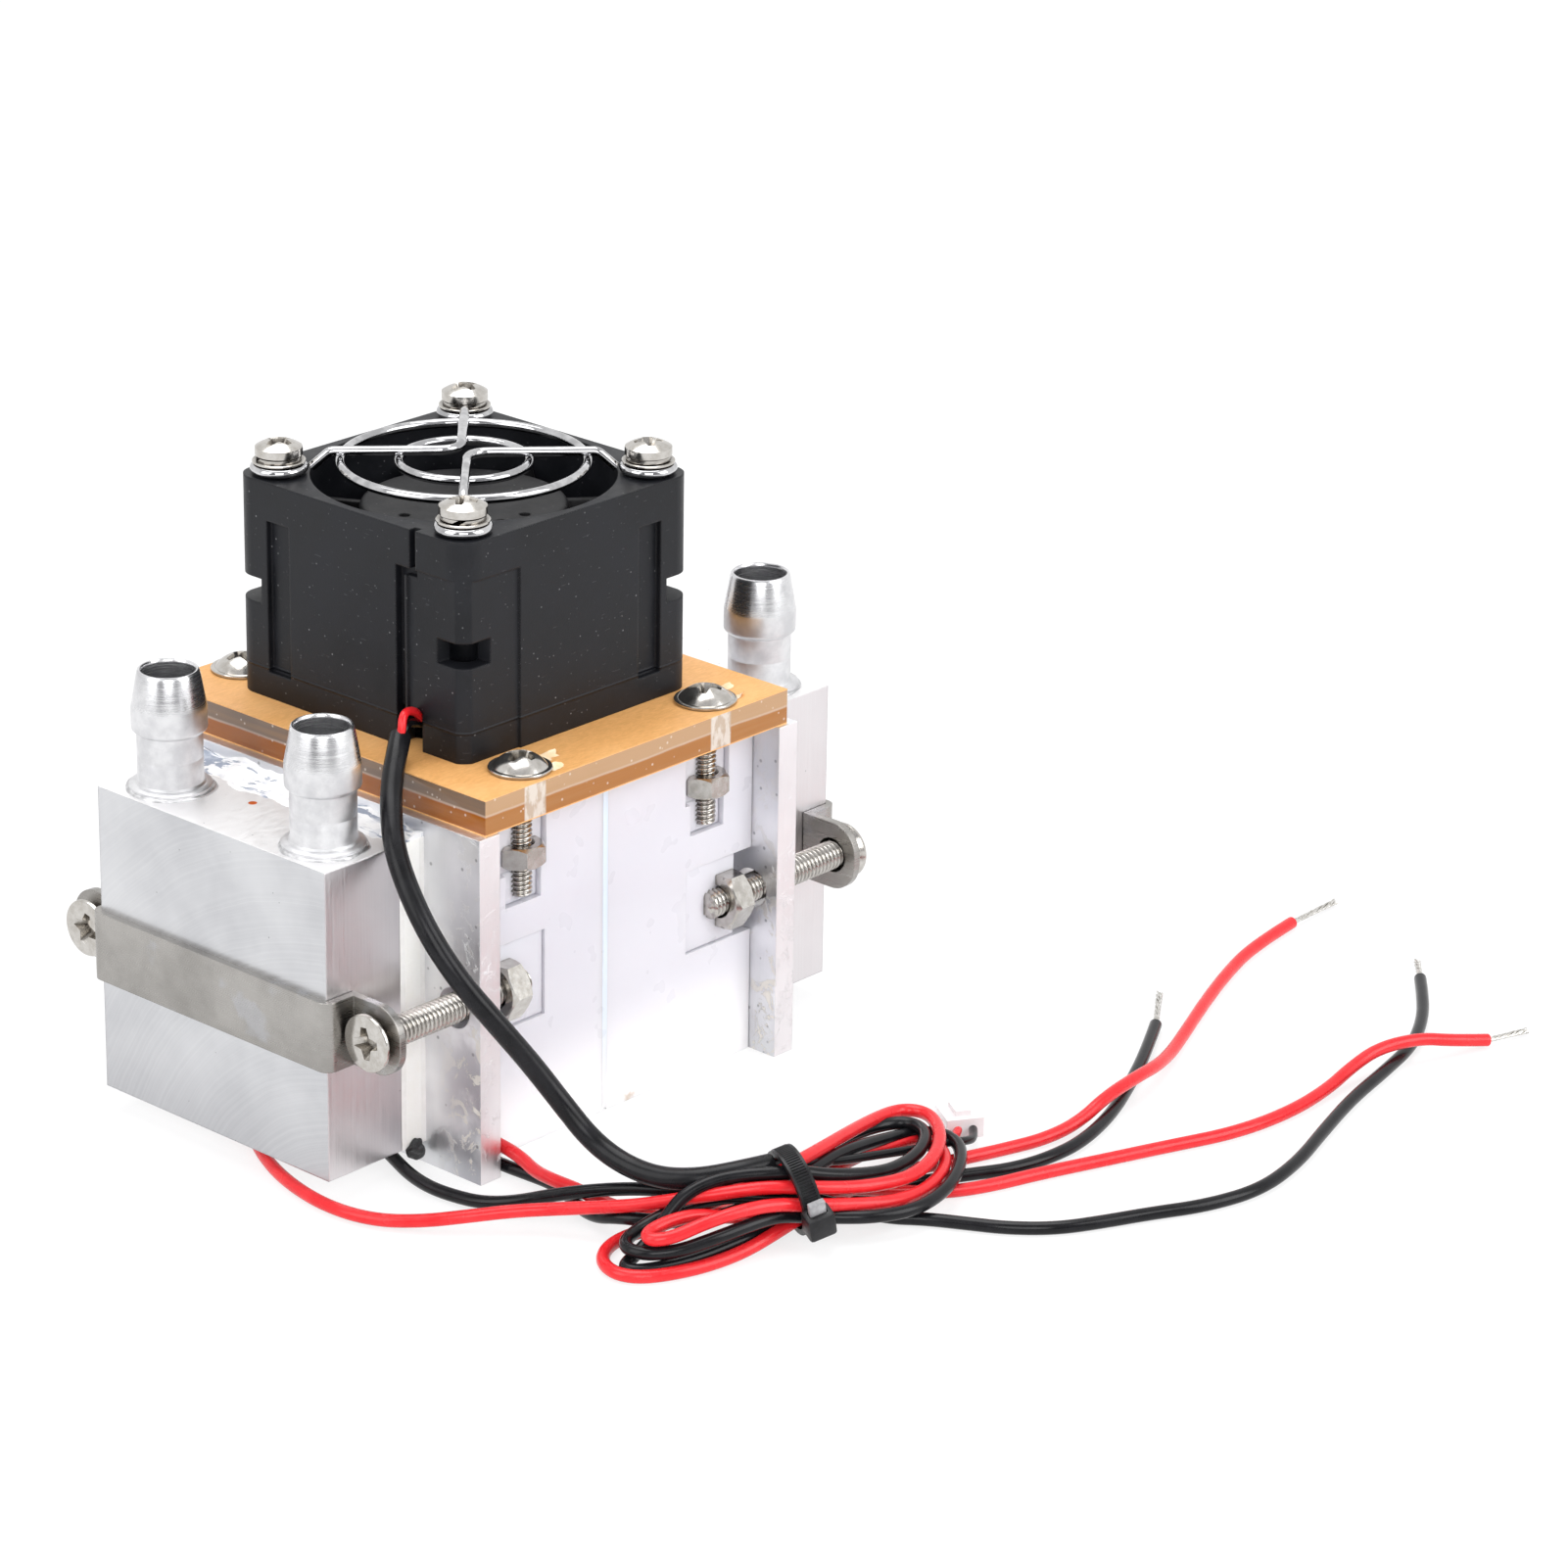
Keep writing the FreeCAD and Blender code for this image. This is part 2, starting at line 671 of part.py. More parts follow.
def sheet_body(label, lift, thickness):
    body = new_body(label)
    outline = new_sketch(body, "outline")
    half_x = "(sizes.plate_screw_x + sizes.plate_margin_x)"
    half_y = "(%s + sizes.plate_margin_y)" % PLATE_SCREW_Y
    draw_rectangle(outline, "-" + half_x, half_x, "-" + half_y, half_y)
    draw_circle(outline, "sizes.fan_shift_x", "sizes.fan_shift_y", "%s / 2 + sizes.air_edge / 2" % FAN_BORE)
    for sign_x, sign_y in CORNERS.values():
        draw_circle(outline, "%d * sizes.plate_screw_x" % sign_x, "%d * %s" % (sign_y, PLATE_SCREW_Y),
                    "sizes.plate_hole / 2")
        draw_circle(outline, "%d * %s + sizes.fan_shift_x" % (sign_x, FAN_SCREW),
                    "%d * %s + sizes.fan_shift_y" % (sign_y, FAN_SCREW), "sizes.fan_screw_hole / 2")
    pad(body, outline, thickness)
    place(body, z=lift)
    return body


def make_plate():
    sheet_body("clear_plate", "sizes.sink_height + sizes.film_thickness", "sizes.plate_thickness")
    lower = sheet_body("lower_film", "sizes.sink_height", "sizes.film_thickness")
    upper = sheet_body("upper_film", "%s - sizes.film_thickness" % PLATE_TOP, "sizes.film_thickness")
    nodes.remove(lower)
    nodes.remove(upper)
    films = doc.addObject("Part::Compound", "paper_films")
    films.Links = [lower, upper]
    node(films, "paper_films")


# White side pieces that close the duct, two halves to a face, with pockets round the nuts


def make_side_piece(face, half):
    """Drawn for the front face and given a half turn for the back one."""
    body = new_body("side_piece_%s_%s" % (face, half))
    drawn_left = (half == "left") == (face == "front")
    end = "(%s - sizes.side_fit)" % BASE_INNER
    if drawn_left:
        low_x, high_x = "-" + end, "-(sizes.seam_offset + sizes.seam_width / 2)"
    else:
        low_x, high_x = "-(sizes.seam_offset - sizes.seam_width / 2)", end
    front = "-" + SIDE_FACE
    outline = new_sketch(body, "outline")
    draw_rectangle(outline, low_x, high_x, front, front + " + sizes.side_depth")
    pad(body, outline, "sizes.sink_height")
    sign = -1 if drawn_left else 1
    margin = "sizes.pocket_margin"

    def cut_box(name, near, far, low, high):
        """A pocket from x = near to far on this half, opening at the face and running to low and high."""
        recess = new_sketch(body, name, "XZ_Plane", SIDE_FACE)
        ends = sorted(["%d * (%s)" % (sign, near), "%d * (%s)" % (sign, far)], key=value)
        draw_rectangle(recess, ends[0], ends[1], low, high)
        pocket(body, recess, "sizes.pocket_depth", forward=False)

    nut_half = "(sizes.clamp_nut_flats / sqrt(3) + %s)" % margin
    cut_box("clamp_nut", "sizes.clamp_tip - sizes.pocket_beyond_tip", BASE_INNER + " + 1",
            "sizes.clamp_height - %s" % nut_half, "sizes.clamp_height + %s" % nut_half)
    half_nut = "(sizes.plate_nut_flats / sqrt(3) + %s / 2)" % margin
    cut_box("plate_nut", "sizes.plate_screw_x - %s" % half_nut, "sizes.plate_screw_x + %s" % half_nut,
            "%s - sizes.plate_nut_height - %s / 2" % (PLATE_NUT_TOP, margin), "sizes.sink_height + 1")
    half_screw = "(sizes.plate_thread / 2 + %s)" % margin
    tip = "%s - sizes.plate_screw_length - %s / 2" % (PLATE_TOP, margin)
    cut_box("plate_screw", "sizes.plate_screw_x - %s" % half_screw, "sizes.plate_screw_x + %s" % half_screw,
            tip, PLATE_NUT_TOP)
    if face == "front" and half == "left":
        notch = new_sketch(body, "lead_notch")
        draw_rectangle(notch, "-(%s + 1)" % end, "-(%s - sizes.lead_notch_width)" % end,
                       front + " - 1", front + " + sizes.side_depth + 1")
        pocket(body, notch, "sizes.lead_notch_height")
    place(body, turn=0 if face == "front" else 180)


# Fan frame: a square case with its round duct, motor support and the wire's way out


def place_on_fan(thing, x="0", y="0", z="0"):
    place(thing, "sizes.fan_shift_x + " + x, "sizes.fan_shift_y + " + y, "%s + %s" % (PLATE_TOP, z))


def make_fan_frame():
    body = new_body("fan_frame")
    half = "sizes.fan_side / 2"
    outline = new_sketch(body, "outline")
    draw_rectangle(outline, "-" + half, half, "-" + half, half)
    block = pad(body, outline, "sizes.fan_height")
    round_edges(body, block, "sizes.fan_corner", is_upright)
    duct = new_sketch(body, "duct")
    draw_circle(duct, "0", "0", FAN_BORE + " / 2")
    for sign_x, sign_y in CORNERS.values():
        draw_circle(duct, "%d * %s" % (sign_x, FAN_SCREW), "%d * %s" % (sign_y, FAN_SCREW),
                    "sizes.fan_screw_hole / 2")
    pocket(body, duct, "sizes.fan_height + 1")
    cut_corner_slits(body)
    cut_corner_grooves(body)
    cut_corner_post(body)
    cut_wire_way(body)
    add_motor_support(body)
    place_on_fan(body)


def cut_corner_slits(body):
    slit = new_sketch(body, "slit", "XY_Plane", "(sizes.fan_height - sizes.slit_height) / 2 - sizes.slit_drop")
    side = "sizes.fan_side / 2"
    draw_rectangle(slit, side + " - sizes.slit_width", side + " + 1", side + " - sizes.slit_width", side + " + 1")
    turn_pattern(body, pocket(body, slit, "sizes.slit_height"), "4")


def cut_corner_grooves(body):
    """Upright grooves beside the two corners that lie across from each other."""
    groove = new_sketch(body, "groove", "XY_Plane", "sizes.groove_bottom")
    face = "-sizes.fan_side / 2"
    near = "(sizes.fan_side / 2 - sizes.groove_inset)"
    far = "(%s + sizes.groove_width)" % near
    draw_rectangle(groove, near, far, face + " - 1", face + " + sizes.groove_depth")
    draw_rectangle(groove, face + " - 1", face + " + sizes.groove_depth", near, far)
    turn_pattern(body, pocket(body, groove, GROOVE_TOP + " - sizes.groove_bottom"), "2")


def cut_corner_post(body):
    """The post below the collar at the wires' corner stands back a little from both faces."""
    post = new_sketch(body, "post")
    face = "-sizes.fan_side / 2"
    inside = face + " + sizes.post_inset"
    far = face + " + sizes.post_width"
    draw_outline(post, [(face + " - 1", face + " - 1"), (far, face + " - 1"), (far, inside), (inside, inside),
                        (inside, far), (face + " - 1", far)])
    pocket(body, post, GROOVE_TOP)


def cut_wire_way(body):
    """The wires' channel up the left face, the narrow slot above it and the opening at the foot."""
    face = "-sizes.fan_side / 2"
    inside = face + " + sizes.wire_channel_depth"
    channel_far = "(%s + sizes.wire_channel_inset)" % face
    slot_far = "(%s + sizes.wire_slot_inset)" % face
    exit_far = "(%s + sizes.wire_exit_inset)" % face
    slot_near = "(%s + sizes.wire_slot_width)" % slot_far
    channel = new_sketch(body, "channel", "XY_Plane", "0")
    draw_rectangle(channel, face + " - 1", inside, channel_far, channel_far + " + sizes.wire_channel_width")
    pocket(body, channel, GROOVE_TOP)
    slot = new_sketch(body, "slot", "XY_Plane", GROOVE_TOP + " - 1")
    draw_rectangle(slot, face + " - 1", inside, slot_far, slot_near)
    pocket(body, slot, "sizes.fan_height - %s + 2" % GROOVE_TOP)
    link = new_sketch(body, "link", "XY_Plane", GROOVE_TOP + " - 1")
    draw_rectangle(link, face + " - 1", inside, slot_near + " - 0.1", channel_far + " + 0.1")
    pocket(body, link, "1")
    opening = new_sketch(body, "opening", "XY_Plane", "0")
    draw_rectangle(opening, face + " - 1", face + " + sizes.fan_side / 4", exit_far,
                   exit_far + " + sizes.wire_exit_width")
    pocket(body, opening, "sizes.wire_exit_height")


def add_motor_support(body):
    disc = new_sketch(body, "disc")
    draw_circle(disc, "0", "0", "sizes.support_radius")
    draw_circle(disc, "0", "0", "sizes.bearing_radius + sizes.bearing_fit")
    strut = new_sketch(body, "strut")
    half = "sizes.strut_width / 2"
    draw_rectangle(strut, "sizes.bearing_tube_radius + 1", FAN_BORE + " / 2 + 0.3", "-" + half, half)
    arm = pad(body, strut, "sizes.strut_height")
    turn_pattern(body, arm, "4")
    pad(body, disc, "sizes.support_thickness")
    tube = new_sketch(body, "tube")
    draw_circle(tube, "0", "0", "sizes.bearing_tube_radius")
    draw_circle(tube, "0", "0", "sizes.bearing_radius + sizes.bearing_fit")
    pad(body, tube, BEARING_TUBE_TOP)


# Fan motor


def make_motor_board():
    body = new_body("motor_board")
    outline = new_sketch(body, "outline")
    draw_circle(outline, "0", "0", "sizes.board_radius")
    draw_circle(outline, "0", "0", "sizes.bearing_tube_radius + sizes.stator_fit")
    pad(body, outline, "sizes.board_thickness")
    place_on_fan(body, z="sizes.strut_height")


def make_stator_core():
    """A laminated core with four arms, each with a shoe that faces the magnet ring."""
    body = new_body("stator_core")
    hub = new_sketch(body, "hub")
    draw_circle(hub, "0", "0", "sizes.stator_core")
    draw_circle(hub, "0", "0", "sizes.bearing_tube_radius + sizes.stator_fit")
    pad(body, hub, "sizes.stator_height")
    arm = new_sketch(body, "arm")
    half, shoe = "sizes.stator_arm / 2", STATOR_RADIUS + " - sizes.stator_shoe"
    span, shoulder = "sizes.coil_width * 0.75", STATOR_RADIUS + " * 0.86"
    draw_outline(arm, [("sizes.stator_core - 0.3", "-" + half), (shoe, "-" + half), (shoe, "-" + span),
                       (shoulder, "-" + span), (STATOR_RADIUS, "-" + half),
                       (STATOR_RADIUS, half), (shoulder, span),
                       (shoe, span), (shoe, half), ("sizes.stator_core - 0.3", half)])
    turn_pattern(body, pad(body, arm, "sizes.stator_height"), "4")
    place_on_fan(body, z=STATOR_BOTTOM)


def make_stator_coils():
    """One wound coil on each arm of the core."""
    body = new_body("stator_coils")
    fit = "sizes.stator_fit"
    block = new_sketch(body, "block", "XY_Plane", "-sizes.coil_overhang")
    start = "(sizes.stator_core + %s)" % fit
    end = "(%s - sizes.stator_shoe - sizes.coil_end_gap)" % STATOR_RADIUS
    draw_rectangle(block, start, end, "-sizes.coil_width / 2", "sizes.coil_width / 2")
    pad(body, block, "sizes.stator_height + 2 * sizes.coil_overhang")
    window = new_sketch(body, "window", "YZ_Plane")
    half = "(sizes.stator_arm / 2 + %s)" % fit
    draw_rectangle(window, "-" + half, half, "-" + fit, "sizes.stator_height + " + fit)
    pocket(body, window, STATOR_RADIUS)
    return body


def make_stator():
    make_stator_core()
    coil = make_stator_coils()
    nodes.remove(coil)
    ring = doc.addObject("Part::Feature", "stator_winding")
    doc.recompute()
    turns = [coil.Shape.copy() for turn in range(4)]
    for turn, piece in enumerate(turns):
        piece.rotate(FreeCAD.Vector(), FreeCAD.Vector(0, 0, 1), 90 * turn)
    ring.Shape = Part.makeCompound(turns)
    place_on_fan(ring, z=STATOR_BOTTOM)
    node(ring, "stator_winding")


def make_bearings():
    """Two ball bearings in the tube, one at its foot and one near its mouth."""
    rings = []
    for name, lift in (("lower", "sizes.bearing_height / 2"),
                       ("upper", BEARING_TUBE_TOP + " - sizes.bearing_height")):
        outer = cylinder("bearing_%s_outer" % name, "sizes.bearing_radius", "sizes.bearing_height")
        inner = cylinder("bearing_%s_inner" % name, "sizes.shaft_radius + sizes.shaft_run", "sizes.bearing_height")
        ring = doc.addObject("Part::Cut", "bearing_" + name)
        ring.Base, ring.Tool = outer, inner
        place_on_fan(ring, z=lift)
        rings.append(ring)
    group = doc.addObject("Part::Compound", "bearings")
    group.Links = rings
    node(group, "bearings")


def make_shaft():
    length = HUB_TOP + " - sizes.hub_wall - sizes.bearing_height / 2"
    shaft = doc.addObject("Part::Cylinder", "rotor_shaft")
    bind(shaft, Radius="sizes.shaft_radius", Height=length)
    place_on_fan(shaft, z="sizes.bearing_height / 2")
    node(shaft, "rotor_shaft")


def make_magnet_ring():
    outer = cylinder("magnet_outer", "sizes.hub_radius - sizes.hub_wall", "sizes.magnet_height")
    inner = cylinder("magnet_inner", "sizes.hub_radius - sizes.hub_wall - sizes.magnet_thickness",
                     "sizes.magnet_height")
    ring = doc.addObject("Part::Cut", "magnet_ring")
    ring.Base, ring.Tool = outer, inner
    place_on_fan(ring, z="sizes.hub_bottom + sizes.hub_wall")
    node(ring, "magnet_ring")


# Impeller: hub cup, balancing dimples and twisted blades


def blade_section(radius, sweep, bow):
    """A thin bowed section across the blade, in the plane that stands at this radius."""
    low = size("hub_bottom") + size("blade_rise")
    high = value(HUB_TOP) - size("blade_drop")
    middle = (low + high) / 2
    half = size("blade_thickness") / 2

    def at(y, z):
        return FreeCAD.Vector(radius, y, z)

    front = Part.Arc(at(-sweep + half, low), at(bow + half, middle), at(sweep + half, high)).toShape()
    back = Part.Arc(at(sweep - half, high), at(bow - half, middle), at(-sweep - half, low)).toShape()
    top = Part.LineSegment(at(sweep + half, high), at(sweep - half, high)).toShape()
    foot = Part.LineSegment(at(-sweep - half, low), at(-sweep + half, low)).toShape()
    return Part.Wire([front, top, back, foot])


def make_impeller():
    hub, tip, wall = size("hub_radius"), value(BLADE_TIP), size("hub_wall")
    low, high = size("hub_bottom"), value(HUB_TOP)
    sweep, bow = size("blade_sweep"), size("blade_bow")
    cup = Part.makeCylinder(hub, high - low, FreeCAD.Vector(0, 0, low))
    rim = [edge for edge in cup.Edges if abs(edge.CenterOfMass.z - high) < 1e-6 and edge.isClosed()]
    cup = cup.makeFillet(size("hub_edge"), rim)
    hollow = Part.makeCylinder(hub - wall, high - wall - low, FreeCAD.Vector(0, 0, low))
    boss_radius = size("shaft_radius") * 2.4
    boss_low = value(BEARING_TUBE_TOP) + 0.5
    boss = Part.makeCylinder(boss_radius, high - boss_low, FreeCAD.Vector(0, 0, boss_low))
    shaft_hole = Part.makeCylinder(size("shaft_radius"), high - wall, FreeCAD.Vector())
    inner_section = blade_section(hub * 0.72, sweep * 0.62, bow * 0.6)
    outer_section = blade_section(tip + 1, sweep, bow)
    blade = Part.makeLoft([inner_section, outer_section], True, True)
    reach = Part.makeCylinder(tip, high, FreeCAD.Vector()).cut(Part.makeCylinder(hub - wall / 2, high))
    blade = blade.common(reach)
    count = int(size("blade_count"))
    blades = []
    for number in range(count):
        copy = blade.copy()
        copy.rotate(FreeCAD.Vector(), FreeCAD.Vector(0, 0, 1), 360 * number / count)
        blades.append(copy)
    shape = cup.cut(hollow).fuse(blades + [boss]).cut(shaft_hole)
    for angle in (174, 254, 278):
        reach_x = size("dimple_circle") * math.cos(math.radians(angle))
        reach_y = size("dimple_circle") * math.sin(math.radians(angle))
        place_low = FreeCAD.Vector(reach_x, reach_y, high - size("dimple_depth"))
        shape = shape.cut(Part.makeCylinder(size("dimple_radius"), size("dimple_depth") + 1, place_low))
    feature = doc.addObject("Part::Feature", "impeller")
    feature.Shape = shape
    place_on_fan(feature)
    node(feature, "impeller")


# Wires, guard and leads are round bars along straight runs joined by tangent arcs


def bent_path(points, share=0.45, radius=None, report=None):
    """The wire of a bar through the points, its arcs as large as the runs beside them allow."""
    places = [FreeCAD.Vector(*point) for point in points]
    edges, start, radii = [], places[0], []
    for before, corner, after in zip(places, places[1:], places[2:]):
        back, ahead = before - corner, after - corner
        turn = math.pi - back.getAngle(ahead)
        trim = share * min(back.Length, ahead.Length)
        if radius is not None:
            trim = min(trim, radius * math.tan(turn / 2))
        radii.append(trim / math.tan(turn / 2))
        back.normalize()
        ahead.normalize()
        entry, leave = corner + back * trim, corner + ahead * trim
        inward = (back + ahead).normalize()
        centre_gap = radii[-1] / math.cos(turn / 2)
        middle = corner + inward * (centre_gap - radii[-1])
        edges.append(Part.LineSegment(start, entry).toShape())
        edges.append(Part.Arc(entry, middle, leave).toShape())
        start = leave
    edges.append(Part.LineSegment(start, places[-1]).toShape())
    if report:
        rounded = ["%.1f" % number for number in radii]
        print("bend radii of %s: %s" % (report, " ".join(rounded)))
    return Part.Wire(edges)


def bar_along(path, diameter):
    first = path.Edges[0]
    direction = first.tangentAt(first.FirstParameter)
    start = first.valueAt(first.FirstParameter)
    circle = Part.Wire(Part.Circle(start, direction, diameter / 2).toShape())
    solid = path.makePipeShell([circle], True, True)
    expected = math.pi * diameter ** 2 / 4 * path.Length
    if abs(solid.Volume - expected) > 0.01 * expected:
        raise RuntimeError("a bar's volume %.2f isn't its section times its length %.2f" % (solid.Volume, expected))
    return solid


def make_guard():
    """Two rings, an eye at each screw, and two bent cross wires that rest on the rings."""
    wire = size("guard_wire")
    reach = value(FAN_SCREW)
    ring_z = size("fan_height") + size("guard_ring_lift")
    cross_z = ring_z + wire - size("guard_weld")
    eye_z = size("fan_height") + wire / 2
    rings = []
    for diameter in (size("guard_outer"), size("guard_inner")):
        rings.append(Part.makeTorus(diameter / 2, wire / 2, FreeCAD.Vector(0, 0, ring_z)))
    eyes = []
    for sign_x, sign_y in CORNERS.values():
        centre = FreeCAD.Vector(sign_x * reach, sign_y * reach, eye_z)
        eyes.append(Part.makeTorus(size("guard_eye") / 2, wire / 2, centre))
    drop, foot = reach - size("guard_drop_inset"), reach - size("guard_foot_inset")

    def leg(corner):
        sign_x, sign_y = corner
        return [(sign_x * foot, sign_y * foot, eye_z), (sign_x * drop, sign_y * drop, cross_z)]

    wires = []
    for start, end in ((BACK_LEFT, BACK_RIGHT), (FRONT_RIGHT, FRONT_LEFT)):
        shift = 0.6 * end[1]
        points = leg(start) + [(0, shift, cross_z)] + leg(end)[::-1]
        wires.append(bar_along(bent_path(points, radius=size("guard_bend")), wire))
    shape = rings[0].fuse(rings[1:] + eyes + wires)
    feature = doc.addObject("Part::Feature", "fan_guard")
    feature.Shape = shape
    place_on_fan(feature)
    node(feature, "fan_guard")


def make_guard_washers():
    rings = []
    for label, (sign_x, sign_y) in CORNERS.items():
        outer = cylinder("washer_outer_" + label, "sizes.washer_outer / 2", "sizes.washer_thickness")
        inner = cylinder("washer_inner_" + label, "sizes.washer_inner / 2", "sizes.washer_thickness")
        ring = doc.addObject("Part::Cut", "washer_" + label)
        ring.Base, ring.Tool = outer, inner
        place_on_fan(ring, "%d * %s" % (sign_x, FAN_SCREW), "%d * %s" % (sign_y, FAN_SCREW),
                     "sizes.fan_height + sizes.guard_wire")
        rings.append(ring)
    group = doc.addObject("Part::Compound", "guard_washers")
    group.Links = rings
    node(group, "guard_washers")


def make_fan_screw(label, sign_x, sign_y):
    name = "fan_screw_" + label
    lift = "(sizes.fan_height + sizes.guard_wire + sizes.washer_thickness)"
    length = "(%s + sizes.fan_screw_end)" % lift
    shank = cylinder(name + "_shank", "sizes.fan_thread / 2", length, "-" + length)
    skirt = cylinder(name + "_skirt", "sizes.fan_head / 2", "sizes.fan_skirt_height")
    dome = domed_head(name, "sizes.fan_head", "sizes.fan_dome_height", "sizes.fan_skirt_height")
    screw = screw_from(name, [shank, skirt, dome], "(sizes.fan_skirt_height + sizes.fan_dome_height)")
    place_on_fan(screw, "%d * %s" % (sign_x, FAN_SCREW), "%d * %s" % (sign_y, FAN_SCREW), lift)


# Leads. Their routes are hand-chosen points in millimetres.

LEAD_ROUTES = {
    "lead_red_left": [
        (-30.4, 15.0, 1.8), (-33.0, 9.0, 1.4), (-37.6, 1.4, 1), (-42.4, -6.5, 0.9),
        (-45.2, -14.3, 0.9), (-46.2, -22.0, 0.9), (-45.0, -28.5, 1), (-41.9, -33.5, 1.5),
        (-38.3, -37.6, 2.3), (-34.6, -41.2, 2.9), (-31.2, -44.8, 3.2), (-28.6, -49.2, 4),
        (-26.2, -53.4, 4.8), (-23.6, -57.4, 6)],
    "lead_black_left": [
        (-30.6, -14.0, 1.8), (-31.9, -18.2, 1.3), (-33.2, -22.4, 0.9), (-33.9, -26.6, 0.85),
        (-33.6, -30.6, 0.9), (-33.0, -34.6, 1.2), (-31.4, -38.6, 2.1), (-28.2, -42.2, 3.2),
        (-25.2, -46.2, 4.1), (-22.8, -50.2, 4.8), (-20.8, -54.2, 5.2), (-18.4, -58.0, 5.5)],
    "lead_red_right": [
        (-23.3, -24.4, 3.6), (-23.2, -28.0, 3.4), (-23.3, -31.4, 2.9), (-24.2, -34.8, 2.4),
        (-25.0, -38.6, 2.8), (-24.8, -42.8, 2.8), (-23.6, -46.4, 1.7), (-21.6, -50.0, 1),
        (-19.2, -53.6, 1.3), (-16.4, -57.4, 2), (-13.4, -60.6, 2.7)],
    "lead_black_right": [
        (-23.3, -24.4, 0.9), (-23.3, -28.4, 0.85), (-23.0, -32.4, 0.85), (-22.8, -36.4, 0.85),
        (-23.9, -40.4, 0.85), (-25.6, -44.0, 0.9), (-26.7, -47.6, 1.5), (-26.9, -51.2, 2.8),
        (-25.4, -54.6, 3), (-22.6, -57.4, 2.7)],
    "fan_lead": [
        (-22.6, -10.8, 51.9), (-25.6, -12.6, 51.8), (-28.6, -15.0, 50.0), (-31.6, -18.0, 47.2),
        (-34.4, -21.4, 43.8), (-35.8, -25.2, 39.8), (-36.2, -29.4, 35.0), (-34.8, -33.2, 29.8),
        (-31.8, -36.0, 24.6), (-28.4, -38.2, 19.2), (-25.8, -40.8, 14.0), (-24.6, -44.4, 10.0),
        (-24.0, -49.0, 8.1), (-23.0, -54.0, 7.5), (-20.8, -58.2, 8.0), (-17.4, -61.0, 8.6)],
}

TAIL_ROUTES = {
    "tail_red_left": [
        (9.4, -65.2, 1.1), (13.4, -66.2, 0.85), (17.4, -67.6, 0.85), (22.6, -69.4, 0.85),
        (28.6, -71.2, 0.85), (34.4, -71.8, 1.4), (39.8, -71.6, 3), (47.4, -70.6, 3),
        (53.4, -69.0, 2), (59.6, -66.4, 1), (66.4, -63.4, 0.85), (74.6, -59.8, 0.85),
        (84.0, -56.0, 0.85), (94.4, -52.6, 0.85), (104.9, -51.3, 0.85)],
    "tail_black_left": [
        (5.2, -66.8, 0.85), (10.2, -68.8, 0.85), (14.6, -71.2, 0.85), (19.2, -73.8, 0.85),
        (24.6, -75.0, 0.85), (31.2, -75.0, 0.85), (40.2, -72.4, 0.85), (49.6, -68.0, 0.85),
        (57.8, -63.7, 0.85), (65.3, -59.3, 0.85)],
    "tail_red_right": [
        (4.4, -70.2, 1.6), (8.8, -72.6, 0.9), (14.0, -75.0, 0.85), (20.4, -77.0, 0.85),
        (28.3, -80.0, 0.85), (37.4, -83.4, 0.85), (46.4, -87.0, 0.85), (56.0, -88.2, 0.85),
        (64.6, -87.6, 1), (70.4, -87.0, 2), (75.6, -87.4, 3.1), (81.6, -89.4, 3.1),
        (86.2, -91.3, 1.9), (91.2, -93.3, 1)],
    "tail_black_right": [
        (-5.0, -69.6, 2.2), (-1.6, -72.0, 0.9), (1.2, -75.2, 0.85), (3.6, -79.4, 0.85),
        (6.2, -84.0, 0.85), (10.2, -88.2, 0.85), (15.4, -91.0, 0.85), (21.0, -93.6, 0.85),
        (27.6, -97.2, 0.85), (35.6, -99.2, 0.85), (44.8, -97.8, 0.85), (54.6, -94.5, 0.85),
        (64.5, -91.4, 0.85), (74.0, -89.4, 0.85), (83.2, -87.2, 0.85), (90.6, -83.4, 0.85),
        (96.6, -79.2, 0.85), (101.6, -75.1, 0.85)],
}

BARE_ENDS = {
    "tail_red_left": (116.2, -50.7, 0.6),
    "tail_black_left": (74.6, -52.6, 0.6),
    "tail_red_right": (98.6, -94.9, 0.6),
    "tail_black_right": (107.0, -70.6, 0.6),
}

THIN_WIRES = [
    [(12.4, -65.0, 3.0), (16.2, -65.8, 2.8), (19.6, -66.0, 1.9), (22.0, -65.2, 1.2), (23.9, -63.4, 1.2)],
    [(12.4, -62.4, 3.0), (15.8, -63.0, 2.8), (18.4, -63.6, 1.9), (20.6, -63.4, 1.2), (22.4, -62.2, 1.2)],
]

PLUG_TURN = 58
TIE_PLACE = (-11.0, -65.2, 5.6)
TIE_TURN = -25
TIE_LEAN = -14
TIE_SPIN = -75

# Middle, half width, height and heading of the hank's outline from its left end to its right end
HANK_SECTIONS = [
    ((-35.6, -58.0), 2.4, 2.2, 0),
    ((-32.0, -58.4), 5.8, 5.2, -4),
    ((-26.0, -59.4), 6.8, 7.2, -10),
    ((-19.0, -61.4), 6.6, 9.4, -16),
    ((-11.0, -65.2), 5.2, 9.8, -22),
    ((-4.6, -67.4), 7.6, 8.8, -8),
    ((2.4, -67.4), 8.8, 8.0, 4),
    ((9.0, -65.8), 8.6, 6.8, 12),
    ((15.0, -63.6), 7.0, 5.8, 20),
    ((19.2, -61.6), 3.0, 4.4, 24),
]


def add_shape(label, shape):
    feature = doc.addObject("Part::Feature", label)
    feature.Shape = shape
    return node(feature, label)


